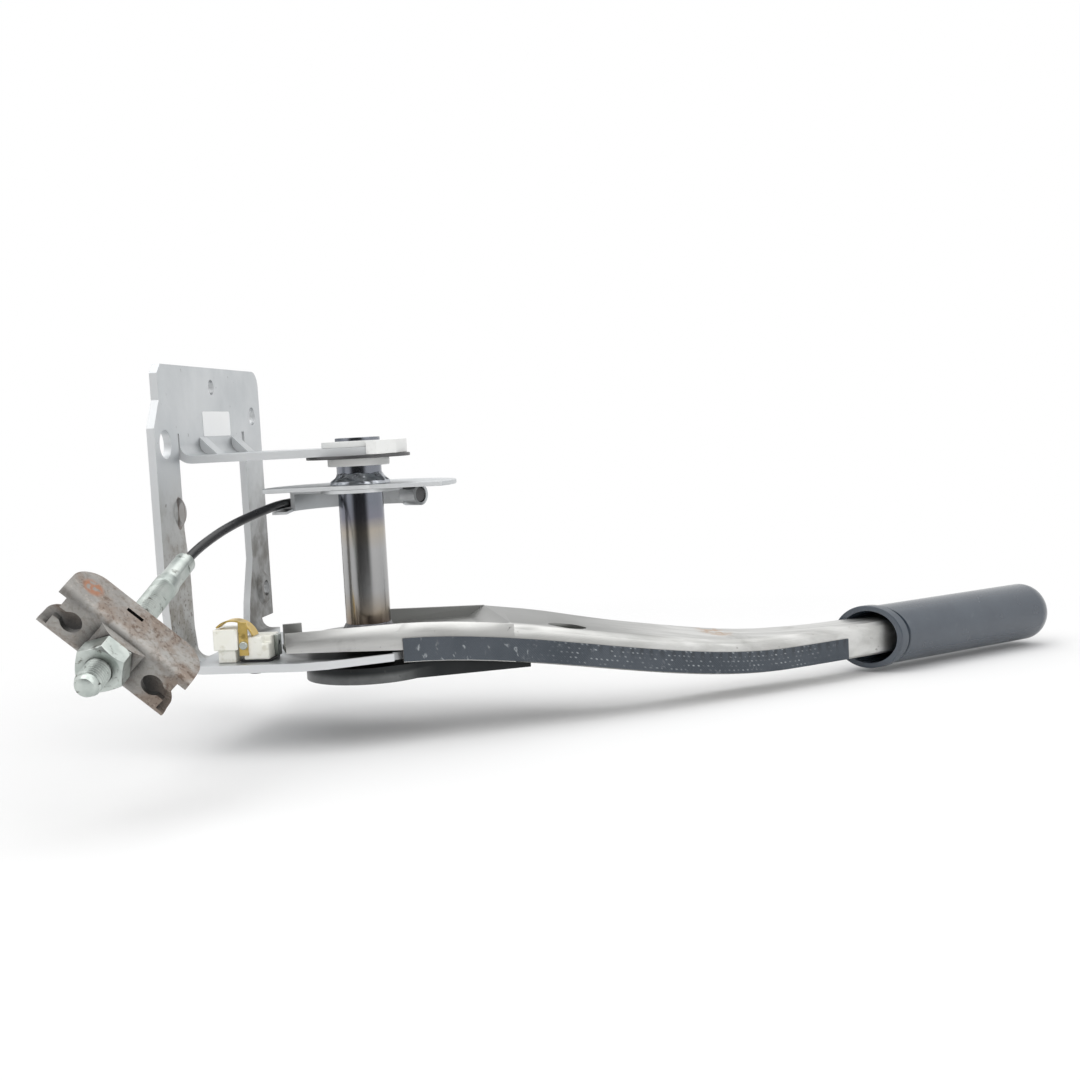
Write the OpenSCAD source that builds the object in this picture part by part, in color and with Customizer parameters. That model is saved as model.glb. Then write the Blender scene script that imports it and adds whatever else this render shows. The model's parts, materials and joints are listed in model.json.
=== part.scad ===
// Parking brake lever on its mounting bracket, millimetres, +Z up along the pivot axis.
// The origin is the centre of the main bolt hole on the rear face of the bracket's back plate.
// The lever is drawn fully pulled, as it lies; it turns counter-clockwise (seen from +Z) to release.

/* [Bracket] */
// Thickness of the bracket's sheet steel
sheet_t = 3.5; // [3:0.1:4]
// Distance from the front of the back plate to the pivot axis
plate_reach = 75; // [72:1:82]
// Distance from the pivot axis to the bracket's near edge
near_edge = 45.5; // [44:0.5:50]
// Distance from the pivot axis to the bracket's far edge
far_edge = 88.5; // [84:0.5:96]
// Height of the back plate above the bottom plate
plate_h = 129.5; // [126:0.5:140]
// Width of each leg beside the window
leg_w = 25; // [22:0.5:27]
// Height of the tongue's underside above the bottom plate
tongue_z = 86; // [84:0.5:92]
// Distance from the pivot axis to the tongue's near edge
tongue_near = 19; // [17:0.5:19.5]
// Inner radius of the bends
bend_r = 5; // [4:0.5:6]

/* [Bolt holes] */
// Radius of the main bolt hole
main_hole_r = 6.25; // [5:0.25:7]
// Height of the main bolt hole above the bottom plate
main_hole_z = 95; // [92:0.5:98]
// Distance of the main bolt hole from the bracket's near edge
main_hole_in = 11; // [10:0.5:13]
// Radius of the upper bolt hole
upper_hole_r = 4.5; // [3.5:0.25:5]
// Radius of the lower bolt hole
lower_hole_r = 4; // [3:0.25:5]
// Radius of the small locating hole
pilot_hole_r = 3.5; // [2.5:0.25:4]

/* [Pivot] */
// Outer radius of the cross tube
tube_r = 10; // [9:0.25:10.5]
// Wall of the cross tube
tube_wall = 2; // [1.5:0.25:3]
// Running clearance of the tube in its bushes, on the radius
run_gap = 0.06; // [0.03:0.01:0.1]
// Wall of the nylon bushes
bush_wall = 2.4; // [2:0.1:3]
// Radius of the upper bush's flange
bush_flange_r = 13.7; // [13:0.1:15]
// Radius of the thin retaining plate
retainer_r = 23; // [20:0.5:25]
// Thickness of the thin retaining plate
retainer_t = 1.4; // [1:0.1:2]

/* [Ratchet] */
// Radius over the ratchet's tooth tips
ratchet_r = 40; // [38:0.5:40.5]
// Depth of the ratchet's teeth
tooth_h = 2.2; // [1.6:0.1:2.6]
// Number of ratchet teeth
tooth_n = 14; // [10:1:15]
// Angle between two teeth
tooth_pitch = 3.5; // [3:0.1:3.6]

/* [Cable sector] */
// Radius of the sector plate
sector_r = 43; // [41:0.5:46]
// Height of the sector plate's underside above the bottom plate
sector_z = 71; // [68:0.5:74]
// Thickness of the sector plate
sector_t = 2; // [1.5:0.25:3]
// Radius at which the cable lies in its groove
groove_r = 35.7; // [35:0.1:36.5]
// Diameter of the coated cable
cable_d = 4; // [3.2:0.1:4.2]

/* [Lever] */
// Plan angle of the lever from the +X direction
lever_angle = 24; // [22:1:26]
// Distance of the lever's back wall from the pivot axis
wall_offset = 28; // [27.5:0.25:30]
// Sheet thickness of the lever's pressings
shell_t = 2; // [1.5:0.1:2.2]
// Height of the shell's panel above the bottom plate
panel_z = 4; // [3.8:0.1:4.6]
// Sideways drop of the arm from the pivot to the grip
arm_drop = 25; // [22:0.5:28]
// Depth of the arm where it enters the grip
arm_end_depth = 18; // [16:0.5:18.5]
// Width of the protective tape on the back wall
tape_w = 10.2; // [9:0.2:11]
// Thickness of the protective tape
tape_t = 0.7; // [0.5:0.1:1]

/* [Grip] */
// Distance from the pivot axis to the grip's collar, along the lever
grip_run = 257; // [252:1:265]
// Distance of the grip's axis from the lever's centre line at the collar
grip_offset = 14; // [12:0.5:16]
// Angle between the grip and the lever's centre line
grip_angle = 15.6; // [14:0.2:17]
// Radius of the grip
grip_r = 15.3; // [15:0.1:17]
// Length of the grip from its collar to its end
grip_len = 127; // [124:1:140]
// Wall of the grip
grip_wall = 2; // [1.6:0.1:2.2]
// Slant of the collar's face
collar_slant = 27; // [20:1:30]
// Radius of the release button
button_r = 6; // [5:0.25:7]

/* [Adjuster] */
// Radius of the threaded rod
rod_r = 5; // [4.5:0.1:5.2]
// Length of the crimped sleeve
sleeve_len = 19; // [16:1:24]
// Distance from the sleeve's mouth to the equalizer's rocking axis
rock_run = 66; // [62:1:72]
// Length of rod beyond the rocking axis
rod_tail = 35; // [32:1:40]
// Downward tilt of the rod
rod_tilt = 19.3; // [17:0.1:22]
// Turn of the equalizer about the rod
equalizer_turn = 47; // [40:1:52]
// Width of the nut across its flats
nut_af = 17; // [16:0.5:18]
// Thickness of the nut
nut_t = 8.4; // [7:0.2:10]
// Length of the equalizer
equalizer_len = 56; // [52:1:62]
// Width of the equalizer over its flanges
equalizer_w = 21; // [20:0.5:24]
// Depth of the equalizer's flanges
equalizer_d = 19; // [17:0.5:21]
// Sheet thickness of the equalizer
equalizer_t = 2.5; // [2:0.1:3]

/* [Hidden] */
$fn = 64;

// Clearance of seated pieces, and of parts that pass each other
seat_gap = 0.1;
free_gap = 0.3;

// The pivot axis at the bottom plate's upper face, seen from the main bolt hole
pivot = [sheet_t + plate_reach, near_edge - main_hole_in, -main_hole_z];

// Window and tongue
window_near = leg_w - near_edge;
window_far = far_edge - leg_w;
tongue_far = window_far - 3.5;
tongue_end = 19;
relief_h = 5;
tongue_top = tongue_z + sheet_t;
bend_out = bend_r + sheet_t;
window_top = tongue_top + bend_r;
foot_near = [-near_edge + 4.5, -15];
foot_far = [window_far - 10, window_far + 8];
top_chamfer = 4;
top_round = 8;
neck_in = 7;

// Bushes and the stack under the tongue
bush_bore = tube_r + run_gap;
spigot_r = bush_bore + bush_wall;
spigot_hole = spigot_r + seat_gap;
flange_t = 3.4;
cap_t = 2.7;
cap_r = 16;
clip_x = 9;
clip_t = 1;
retainer_z = tongue_z - retainer_t;
flange_z = retainer_z - flange_t;
lower_flange_t = 1.6;
lower_flange_r = spigot_r + 1.6;
tube_top = tongue_top + cap_t + 1.5;

// Ratchet teeth start clear of the lever's back wall and run round the plate's end
ratchet_start = 26;
root_r = ratchet_r - tooth_h;
neck_r = 26.5;

// Cable groove under the sector plate
groove_wall_r = groove_r - cable_d / 2 - 0.2;
groove_wall_t = 2;
cable_z = sector_z - 5.3;
groove_floor_t = 1.5;
groove_floor = cable_z - cable_d / 2 - 0.2;
groove_out_r = groove_r + cable_d / 2 + 2;
groove_from = 67;
groove_to = 176;
exit_angle = 170;
barrel_angle = 62;
barrel_r = 5;
barrel_bore = 3.6;
barrel_len = 9;
nipple_len = 8;
wrap_from = barrel_angle + 6.6;
sector_front = 15;
hub_r = 17.5;
doubler_t = 1.5;
weld_leg = 3.5;

// Lever path: straight past the pivot, then a smooth curve into the grip
bend_start = 50;
wall_to_axis = arm_end_depth / 2 - 0.5;
collar = [grip_run, grip_offset];
arm_end = collar + wall_to_axis * [sin(grip_angle), -cos(grip_angle)];
arm_start = [bend_start, -wall_offset];
arm_run = norm(arm_end - arm_start);
arm_length = bend_start + arm_run;
tang_len = 78;
mid_z = 1;
drop_from = 5;
drop_run = 200;
rim_h = 11.4;
wall_foot = 5.5;
arm_foot = 6;
corner_r = 5;
foot_r = 3;
tail_s = -40;
tab_top = 15.5;
slot_low = 0.8;
slot_end = 10;
tray_end = 60;
lip_end = 80;
far_flange_top = 13;
far_flange_end = 10.4;
tray_depth = 2 * wall_offset;
arm_depth = 25;
far_rise = 3.8;
tape_end = 240;
tape_glue = 0.1;
hole_at = [87.5, -18.4];
hole_half = [9, 4.6];
step = 10;

// Lever's second side, below the bracket's plate
side_z = -5.5;
side_wall = 5.2;
side_clear = 2;
side_in = wall_offset - shell_t - side_clear;
side_r = wall_offset + 0.9;
side_end = 62;
side_far = 16;
side_wall_end = 68;

// Grip, button and release rod, in the lever's own directions
grip_z = mid_z - arm_drop + (rim_h - arm_foot) / 2 - 0.4;
grip_axis = [cos(grip_angle), sin(grip_angle), 0];
grip_point = [collar[0], collar[1], grip_z];
collar_t = 4;
collar_lip = 0.9;
groove_cut = 1.1;
end_round = 12;
bore_end = grip_len - 24;
release_r = 2;
button_from = bore_end - 3;
button_face = 0.6;
spring_r = 5.2;
spring_wire = 1.2;
spring_turns = 7;
seat_t = 2;
seat_at = 79;

// Pawl between the lever's two sides
pawl_pivot = [46, -12];
pawl_pin_r = 3;
pawl_boss_r = 5.5;
pawl_t = 2.9;
pawl_z = -sheet_t + free_gap;
pawl_tail = [49, -21];
pawl_tail_r = 3;
rod_bend = [170, -4, -19];
rod_end = [pawl_tail[0] + pawl_tail_r + 1, pawl_tail[1] - 0.5, -1.2];

// Free cable from the groove to the crimped sleeve: points chosen along its run
cable_route = [
  [43.3, 40.4, -29.3], [41.6, 33, -29.6], [38.6, 22.5, -31], [34.5, 12.5, -33.2],
  [30, -0.5, -36.3], [26, -13.5, -40.4], [23.2, -24.5, -44.6], [22, -33.5, -48.2]
];
cable_sides = 10;

// Adjuster
sleeve_mouth = cable_route[len(cable_route) - 1];
sleeve_r = rod_r - 0.6;
saddle_r = 14;
saddle_rise = 3.5;
equalizer_bend = 4.5;
web_short = 3.5;
nut_gap = 0.3;
rod_dome = 2;
keyhole_r = 4.2;
keyhole_in = 10;
keyhole_slot = 4.6;

// Blank label and warning lamp switch, seen from the pivot
label_at = [9.8, 97.8];
label_size = [34.6, 11.5];
label_t = 0.15;
switch_at = [-43, -30];
switch_shank_r = 2.5;
base_t = 1;
block_y = [-36.5, -22];
left_x = [-58.8, -48];
right_x = [-46, -34.6];
left_top = 14.6;
right_top = 11;
leaf_t = 0.7;
leaf_r = 10;
leaf_at = [-50.5, 8.5];
leaf_w = 7;

// A smooth step from 0 to 1
function smooth(u) = let (v = max(0, min(1, u))) v * v * (3 - 2 * v);

// Plan position of the back wall's outer face at a run s along the lever
function arm_curve(t) =
  (2 * t * t * t - 3 * t * t + 1) * arm_start
  + (t * t * t - 2 * t * t + t) * arm_run * [1, 0]
  + (3 * t * t - 2 * t * t * t) * arm_end
  + (t * t * t - t * t) * arm_run * [cos(grip_angle), sin(grip_angle)];
function wall_point(s) =
  s < bend_start ? [s, -wall_offset]
  : s < arm_length ? arm_curve((s - bend_start) / arm_run)
  : arm_end + (s - arm_length) * [cos(grip_angle), sin(grip_angle)];
function wall_turn(s) =
  let (d = wall_point(s + 0.5) - wall_point(s - 0.5)) atan2(d[1], d[0]);
function wall_mid(s) = mid_z - arm_drop * smooth((s - drop_from) / drop_run);

// Depth of the arm away from the back wall, and the rise of its far edge
function depth_at(s) =
  tray_depth - (tray_depth - arm_depth) * smooth((s - 55) / 75)
  - (arm_depth - arm_end_depth) * smooth((s - 170) / (arm_length - 170));
function rise_at(s) =
  far_rise * (0.68 + 0.32 * smooth((s - tray_end) / 32)) * (1 - smooth((s - 130) / 110));

// A point of the arm's section, q behind the back wall's face and h above its middle
function arm_point(s, q, h) =
  let (p = wall_point(s), a = wall_turn(s))
  [p[0] - q * sin(a), p[1] + q * cos(a), wall_mid(s) + h];
function section_ring(s, outline) = [for (p = outline) arm_point(s, p[0], p[1])];

// Channel section of the arm: back wall, upper side and lower side, open away from the back
function corner(centre, r, from, to) =
  [for (i = [0 : 3]) let (a = from + (to - from) * i / 3) centre + r * [cos(a), sin(a)]];
function channel(s) =
  let (
    w = depth_at(s), t = shell_t, e = rise_at(s), lower = (s < lip_end ? foot_r : w) + 0.6,
    up = [corner_r, rim_h - corner_r], low = [foot_r, foot_r - arm_foot]
  )
  concat(
    [[lower, -arm_foot]], corner(low, foot_r, 270, 180), corner(up, corner_r, 180, 90),
    [[w, rim_h + e], [w, rim_h + e - t]], corner(up, corner_r - t, 90, 180),
    corner(low, foot_r - t, 180, 270), [[lower, t - arm_foot]]
  );
function flat_strip(q0, q1, h0, h1) = [[q1, h0], [q0, h0], [q0, h1], [q1, h1]];

// Underside of the ramp at the tray's end, on its near and far side
ramp_low = wall_mid(tray_end) + rim_h - shell_t;
ramp_high = ramp_low + rise_at(tray_end);

// Solid through a list of rings with the same number of points
module loft(rings) {
  n = len(rings[0]);
  last = (len(rings) - 1) * n;
  polyhedron(
    points = [for (ring = rings) for (p = ring) p],
    faces = concat(
      [[for (i = [n - 1 : -1 : 0]) i]],
      [for (k = [0 : len(rings) - 2]) for (i = [0 : n - 1]) for (half = [0, 1])
        let (a = k * n + i, b = k * n + (i + 1) % n)
        half == 0 ? [a, b, b + n] : [a, b + n, a + n]],
      [[for (i = [0 : n - 1]) last + i]]
    ),
    convexity = 6
  );
}

// Ring of points round p, square to the direction d
function ring_about(p, d, r, sides) =
  let (
    z = d / norm(d), x = cross([0, 0, 1], z) / norm(cross([0, 0, 1], z)), y = cross(z, x)
  )
  [for (i = [0 : sides - 1]) let (a = 360 * i / sides) p + r * (cos(a) * x + sin(a) * y)];

module tube_piece(r, bore, z, h) {
  translate([0, 0, z])
    difference() {
      cylinder(h = h, r = r);
      translate([0, 0, -1]) cylinder(h = h + 2, r = bore);
    }
}

// Frames: at the pivot, along the lever, along the grip and along the adjuster
module at_pivot() { translate(pivot) children(); }
module on_lever() { at_pivot() rotate(lever_angle) children(); }
module on_grip() { on_lever() translate(grip_point) rotate(grip_angle) children(); }
module on_rod() { translate(sleeve_mouth) rotate([90 + rod_tilt, 0, 0]) children(); }
module on_rock() { on_rod() translate([0, 0, rock_run]) rotate(-equalizer_turn) children(); }

// Outline of the back plate in its own plane, with its two legs round the window
module plate_outline() {
  top = plate_h;
  difference() {
    union() {
      polygon([
        [foot_near[0], bend_r], [-near_edge, 40], [-near_edge, 102], [-near_edge + neck_in, 114],
        [-near_edge + neck_in, top - top_chamfer], [-near_edge + neck_in + top_chamfer, top],
        [far_edge - top_round, top], [far_edge, top - top_round], [far_edge, bend_r]
      ]);
      translate([far_edge - top_round, top - top_round]) circle(r = top_round);
    }
    polygon([
      [foot_near[1], bend_r - 1], [foot_near[1], bend_r], [foot_near[1] - 2, 14],
      [window_near + 3, 39], [window_near, 57], [window_near, window_top + relief_h],
      [-tongue_near, window_top + relief_h], [-tongue_near, window_top],
      [tongue_far, window_top], [tongue_far, window_top + relief_h],
      [window_far, window_top + relief_h], [window_far, 36], [foot_far[0] + 2, 15],
      [foot_far[0], bend_r], [foot_far[0], bend_r - 1]
    ]);
  }
}

// Quarter bend in the XZ plane, over a stretch of Y
module bend(centre, y0, y1) {
  translate([centre[0], y1, centre[1]])
    rotate([90, 0, 0])
      linear_extrude(y1 - y0)
        intersection() {
          difference() {
            circle(r = bend_out);
            circle(r = bend_r);
          }
          translate([-bend_out, -bend_out]) square(bend_out);
        }
}

// Stiffening dart pressed into a bend
module dart(corner_x, corner_z, y, reach, w) {
  translate([corner_x, y + w / 2, corner_z])
    rotate([90, 0, 0])
      linear_extrude(w)
        polygon([[0, 0], [reach, 0], [0, reach]]);
}

// Outline of the bottom plate round the pivot, with the ratchet on its end
module bottom_outline() {
  x0 = -plate_reach + bend_r;
  front = near_edge - 1.5;
  ratchet_end = ratchet_start + tooth_n * tooth_pitch;
  union() {
    polygon([
      [x0, foot_near[0]], [x0 + 8, -front], [-20, -front], [-8, -40.5], [17, -24], [0, 0],
      root_r * [cos(ratchet_end), sin(ratchet_end)], [-20, 45], [x0 + 10, foot_far[0]],
      [x0 + 4, foot_far[1]], [x0, foot_far[1]]
    ]);
    circle(r = neck_r);
    polygon(concat(
      [[0, 0]],
      [for (k = [0 : tooth_n - 1]) for (r = [root_r, ratchet_r])
        let (a = ratchet_start + k * tooth_pitch) r * [cos(a), sin(a)]],
      [root_r * [cos(ratchet_end), sin(ratchet_end)]]
    ));
  }
}

module tongue_outline() {
  polygon([
    [-plate_reach + bend_r, -tongue_near], [tongue_end - 6, -tongue_near], [tongue_end, -10],
    [tongue_end, 10], [tongue_end - 8, 20], [-30, 36], [-plate_reach + bend_r, tongue_far]
  ]);
}

module mounting_bracket() {
  front = -plate_reach;
  color("#a7a9a6")
    at_pivot()
      difference() {
        union() {
          translate([front - sheet_t, 0, 0])
            rotate([90, 0, 90]) linear_extrude(sheet_t) plate_outline();
          bend([front + bend_r, window_top], -tongue_near, tongue_far);
          translate([0, 0, tongue_z]) linear_extrude(sheet_t) tongue_outline();
          bend([front + bend_r, bend_r], foot_near[0], foot_near[1]);
          bend([front + bend_r, bend_r], foot_far[0], foot_far[1]);
          translate([0, 0, -sheet_t]) linear_extrude(sheet_t) bottom_outline();
          for (y = [9, 50]) dart(front, tongue_top, y, 8, 9);
          dart(front, 0, -29, 8, 6);
          translate([front, 21.4 - near_edge, 65])
            rotate([0, 90, 0]) cylinder(h = 1.2, r1 = 6.5, r2 = 4.5);
          translate([front, far_edge - 11.5, 19.5])
            rotate([0, 90, 0]) cylinder(h = 1.5, r1 = 9, r2 = 7);
        }
        bolt_hole(main_hole_in - near_edge, main_hole_z, main_hole_r);
        bolt_hole(far_edge - 12, 107, upper_hole_r);
        bolt_hole(far_edge - 11.5, 19.5, lower_hole_r);
        bolt_hole(23, plate_h - 9, pilot_hole_r);
        translate([0, 0, tongue_z - 1]) cylinder(h = sheet_t + 2, r = spigot_hole);
        translate([0, 0, -sheet_t - 1]) cylinder(h = sheet_t + 2, r = spigot_hole);
        translate([switch_at[0], switch_at[1], -sheet_t - 1])
          cylinder(h = sheet_t + 2, r = switch_shank_r + seat_gap);
      }
}

module bolt_hole(y, z, r) {
  translate([-plate_reach - sheet_t - 1, y, z])
    rotate([0, 90, 0]) cylinder(h = sheet_t + 5, r = r);
}

module upper_bush() {
  color("#eceae2")
    at_pivot() {
      tube_piece(bush_flange_r, bush_bore, flange_z, flange_t);
      tube_piece(spigot_r, bush_bore, retainer_z, retainer_t + sheet_t + cap_t);
    }
}

// White cap: a ring on the tongue with a clip that closes round the tongue's end
module bush_cap() {
  color("#f2f1ea")
    at_pivot() {
      tube_piece(cap_r, spigot_hole, tongue_top, cap_t);
      translate([0, 0, tongue_z + seat_gap])
        linear_extrude(sheet_t - seat_gap + cap_t)
          difference() {
            polygon([
              [clip_x, -tongue_near - clip_t], [tongue_end - 5.4, -tongue_near - clip_t],
              [tongue_end + clip_t, -10.5], [tongue_end + clip_t, 10.5], [tongue_end - 7.4, 20 + clip_t],
              [clip_x, 22.6 + clip_t]
            ]);
            polygon([
              [clip_x - 1, -tongue_near - seat_gap], [tongue_end - 5.9, -tongue_near - seat_gap],
              [tongue_end + seat_gap, -10.1], [tongue_end + seat_gap, 10.1], [tongue_end - 7.9, 20.2],
              [clip_x - 1, 24]
            ]);
          }
      translate([0, 0, tongue_top])
        linear_extrude(cap_t)
          difference() {
            polygon([
              [clip_x, -tongue_near - 0.5], [tongue_end - 5.6, -tongue_near - 0.5], [tongue_end + 0.5, -10.3],
              [tongue_end + 0.5, 10.3], [tongue_end - 7.6, 20.5], [clip_x, 22.8]
            ]);
            circle(r = cap_r - 0.5);
          }
    }
}

module retaining_plate() {
  color("#565a5b") at_pivot() tube_piece(retainer_r, spigot_hole, retainer_z, retainer_t);
}

module lower_bush() {
  color("#eceae2")
    at_pivot() {
      tube_piece(lower_flange_r, bush_bore, 0, lower_flange_t);
      tube_piece(spigot_r, bush_bore, -sheet_t, sheet_t);
    }
}

// Blank stick-on label on the back plate
module label() {
  color("#fbfbf8")
    at_pivot()
      translate([-plate_reach, label_at[0], label_at[1]]) cube([label_t, label_size[0], label_size[1]]);
}

// Warning lamp switch on the bottom plate
module switch_base() {
  color("#232426")
    at_pivot()
      difference() {
        translate([right_x[0] - 1.5, block_y[0] + 0.5, 0])
          cube([right_x[1] - right_x[0] + 1.5, block_y[1] - block_y[0] - 1, base_t]);
        translate([switch_at[0], switch_at[1], -1]) cylinder(h = base_t + 2, r = switch_shank_r + seat_gap);
      }
}

module switch_block_left() {
  y = block_y[0] - 1.5;
  depth = block_y[1] - y - 2;
  waist = 5.5;
  color("#efece0")
    at_pivot() {
      translate([left_x[0] + 1.5, y + 1, 0]) cube([left_x[1] - left_x[0] - 3, depth - 2, waist]);
      translate([left_x[0], y, waist]) cube([left_x[1] - left_x[0], depth, left_top - waist]);
    }
}

module switch_block_right() {
  color("#efece0")
    at_pivot()
      difference() {
        translate([right_x[0], block_y[0], base_t])
          cube([right_x[1] - right_x[0], block_y[1] - block_y[0], right_top - base_t]);
        translate([right_x[1] - 3, block_y[0] - 1, right_top - 3]) cube([4, 5, 4]);
      }
}

module contact_leaf() {
  flag_x = left_x[1] + 0.4;
  color("#c79a3a")
    at_pivot() {
      translate([leaf_at[0], block_y[0] - leaf_t + leaf_w, leaf_at[1]])
        rotate([90, 0, 0])
          linear_extrude(leaf_w)
            difference() {
              intersection() {
                difference() {
                  circle(r = leaf_r);
                  circle(r = leaf_r - leaf_t);
                }
                polygon([[0, 0], [20, 6], [20, 20], [-20, 20]]);
              }
            }
      translate([flag_x, block_y[0] - leaf_t, 3]) cube([4, leaf_t, leaf_at[1] + leaf_r - 4.1]);
    }
}

module contact_rivet() {
  color("#b9bdbb")
    at_pivot()
      translate([left_x[1] + 2.4, block_y[0] - leaf_t, 7.4])
        rotate([90, 0, 0]) cylinder(h = 1, r1 = 2, r2 = 1.5);
}

module switch_terminal() {
  color("#c3c5c2")
    at_pivot()
      difference() {
        translate([right_x[1], block_y[0] + 7, base_t + 0.5]) cube([1.7, 5, 9]);
        translate([right_x[1] - 1, block_y[0] + 9.5, base_t + 6])
          rotate([0, 90, 0]) cylinder(h = 4, r = 1);
      }
}

module switch_rivet() {
  head_r = 4.2;
  head_t = 2.2;
  color("#1d1e20")
    at_pivot()
      translate([switch_at[0], switch_at[1], -sheet_t - head_t]) {
        cylinder(h = head_t, r1 = head_r - 1, r2 = head_r);
        cylinder(h = head_t + sheet_t + base_t, r = switch_shank_r);
      }
}

module cross_tube() {
  color("#7c7f80")
    at_pivot()
      tube_piece(tube_r, tube_r - tube_wall, side_z - shell_t, tube_top - side_z + shell_t);
}

module weld_ring(z) {
  rotate_extrude()
    polygon([
      [tube_r, z], [tube_r + weld_leg, z], [tube_r + weld_leg - 0.4, z + 1.4], [tube_r + 1.2, z + 3],
      [tube_r, z + 5]
    ]);
}

module sector_weld() { color("#4b4e55") at_pivot() weld_ring(sector_z + sector_t); }

module shell_weld() { color("#4b4e55") at_pivot() weld_ring(panel_z + shell_t); }

module sector_plate() {
  color("#8e9294")
    at_pivot()
      translate([0, 0, sector_z])
        linear_extrude(sector_t)
          difference() {
            union() {
              intersection() {
                circle(r = sector_r);
                translate([-sector_r, -sector_front]) square([2 * sector_r, sector_r + sector_front]);
              }
              circle(r = hub_r);
            }
            circle(r = tube_r);
          }
}

// Pressed groove: hub doubler, inner wall, floor, lead-in lip and the rolled eye at its end
module groove_guide() {
  wall_in = groove_wall_r - groove_wall_t;
  arc = groove_to - groove_from;
  color("#9a9d9c")
    at_pivot()
      difference() {
        union() {
          translate([0, 0, sector_z - doubler_t])
            difference() {
              union() {
                cylinder(h = doubler_t, r = hub_r);
                rotate(groove_from)
                  rotate_extrude(angle = arc) square([wall_in + 1, doubler_t]);
              }
              translate([0, 0, -1]) cylinder(h = doubler_t + 2, r = tube_r);
            }
          rotate(groove_from)
            rotate_extrude(angle = arc) {
              translate([wall_in, groove_floor - groove_floor_t])
                square([groove_wall_t, sector_z - groove_floor + groove_floor_t]);
              translate([wall_in, groove_floor - groove_floor_t])
                square([groove_out_r - wall_in, groove_floor_t]);
            }
          rotate(groove_to)
            translate([wall_in + 0.7, -1.5, groove_floor - groove_floor_t + 0.1])
              rotate([-6, 0, 0]) cube([groove_out_r - wall_in - 1.3, 10, groove_floor_t - 0.3]);
          eye() cylinder(h = barrel_len, r = barrel_r, center = true);
        }
        eye() cylinder(h = barrel_len + 1, r = barrel_bore, center = true);
      }
}

// Frame of the rolled eye: its axis lies along the cable's tangent
module eye() {
  rotate(barrel_angle) translate([groove_r, 0, cable_z]) rotate([90, 0, 0]) children();
}

module cable_nipple() {
  color("#3c3d3f") at_pivot() eye() cylinder(h = nipple_len, r = barrel_bore - seat_gap, center = true);
}

module cable_wrapped() {
  color("#161719")
    at_pivot()
      rotate(wrap_from)
        rotate_extrude(angle = exit_angle - wrap_from)
          translate([groove_r, cable_z]) circle(d = cable_d);
}

// Upper pressing of the lever: open tray round the pivot, with its back wall, far flange and ramp
module lever_shell() {
  stations = [for (s = [slot_end : step : tray_end]) s];
  color("#b4b6b1")
    on_lever()
      difference() {
        union() {
          translate([0, 0, panel_z]) linear_extrude(shell_t) tray_outline();
          translate([0, shell_t - wall_offset, 0])
            rotate([90, 0, 0])
              linear_extrude(shell_t)
                polygon([
                  [tail_s, panel_z], [slot_end + 1, slot_low], [slot_end + 1, mid_z + rim_h],
                  [tail_s, mid_z + rim_h]
                ]);
          translate([0, wall_offset, 0])
            rotate([90, 0, 0])
              linear_extrude(shell_t)
                polygon([[0, panel_z], [tray_end, panel_z], [tray_end, far_flange_end], [0, far_flange_top]]);
          translate([tail_s, -wall_offset + 8, panel_z]) cube([8, shell_t, tab_top - panel_z]);
          translate([0, shell_t - wall_offset, 0])
            rotate([90, 0, 0])
              linear_extrude(shell_t)
                polygon(concat(
                  [for (s = stations) [s, wall_mid(s) - wall_foot]],
                  [for (i = [len(stations) - 1 : -1 : 0]) [stations[i], wall_mid(stations[i]) + rim_h]]
                ));
          loft([ramp_ring(tray_end - 9, 1, panel_z + 0.5, panel_z + 0.5),
            ramp_ring(tray_end - 0.2, shell_t, ramp_low, ramp_high)]);
        }
        translate([0, 0, panel_z - 1]) cylinder(h = shell_t + 2, r = tube_r + seat_gap);
        translate([pawl_pivot[0], pawl_pivot[1], panel_z - 1])
          cylinder(h = shell_t + 2, r = pawl_pin_r + seat_gap);
      }
}

// Channel of the lever that drops from the tray to the grip and runs on inside it
module lever_arm() {
  stations = concat([for (s = [tray_end : step : arm_length - 5]) s], [arm_length, arm_length + tang_len]);
  color("#b4b6b1")
    on_lever()
      difference() {
        loft([for (s = stations) section_ring(s, channel(s))]);
        translate([hole_at[0], hole_at[1], -4]) linear_extrude(20) oval(hole_half);
        translate([tray_end - 10, -2 * wall_offset, -4 * rim_h])
          cube([10, 4 * wall_offset, 8 * rim_h]);
      }
}

// Oval with straight sides, given its half length and half width
module oval(half) {
  polygon([for (a = [0 : 15 : 345]) [half[0] * cos(a), half[1] * sin(a)]]);
}

// Ring of the ramp that closes the tray's end: underside heights at the near and far side
function ramp_ring(s, t, near, far) =
  let (y = wall_offset - shell_t + 0.5)
  [[s, -y, near], [s, -y, near + t], [s, y, far + t], [s, y, far]];

module tray_outline() {
  y = wall_offset;
  union() {
    circle(r = y);
    translate([tail_s, -y]) square([-tail_s, 16]);
    translate([0, -y]) square([tray_end, 2 * y]);
  }
}

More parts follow.
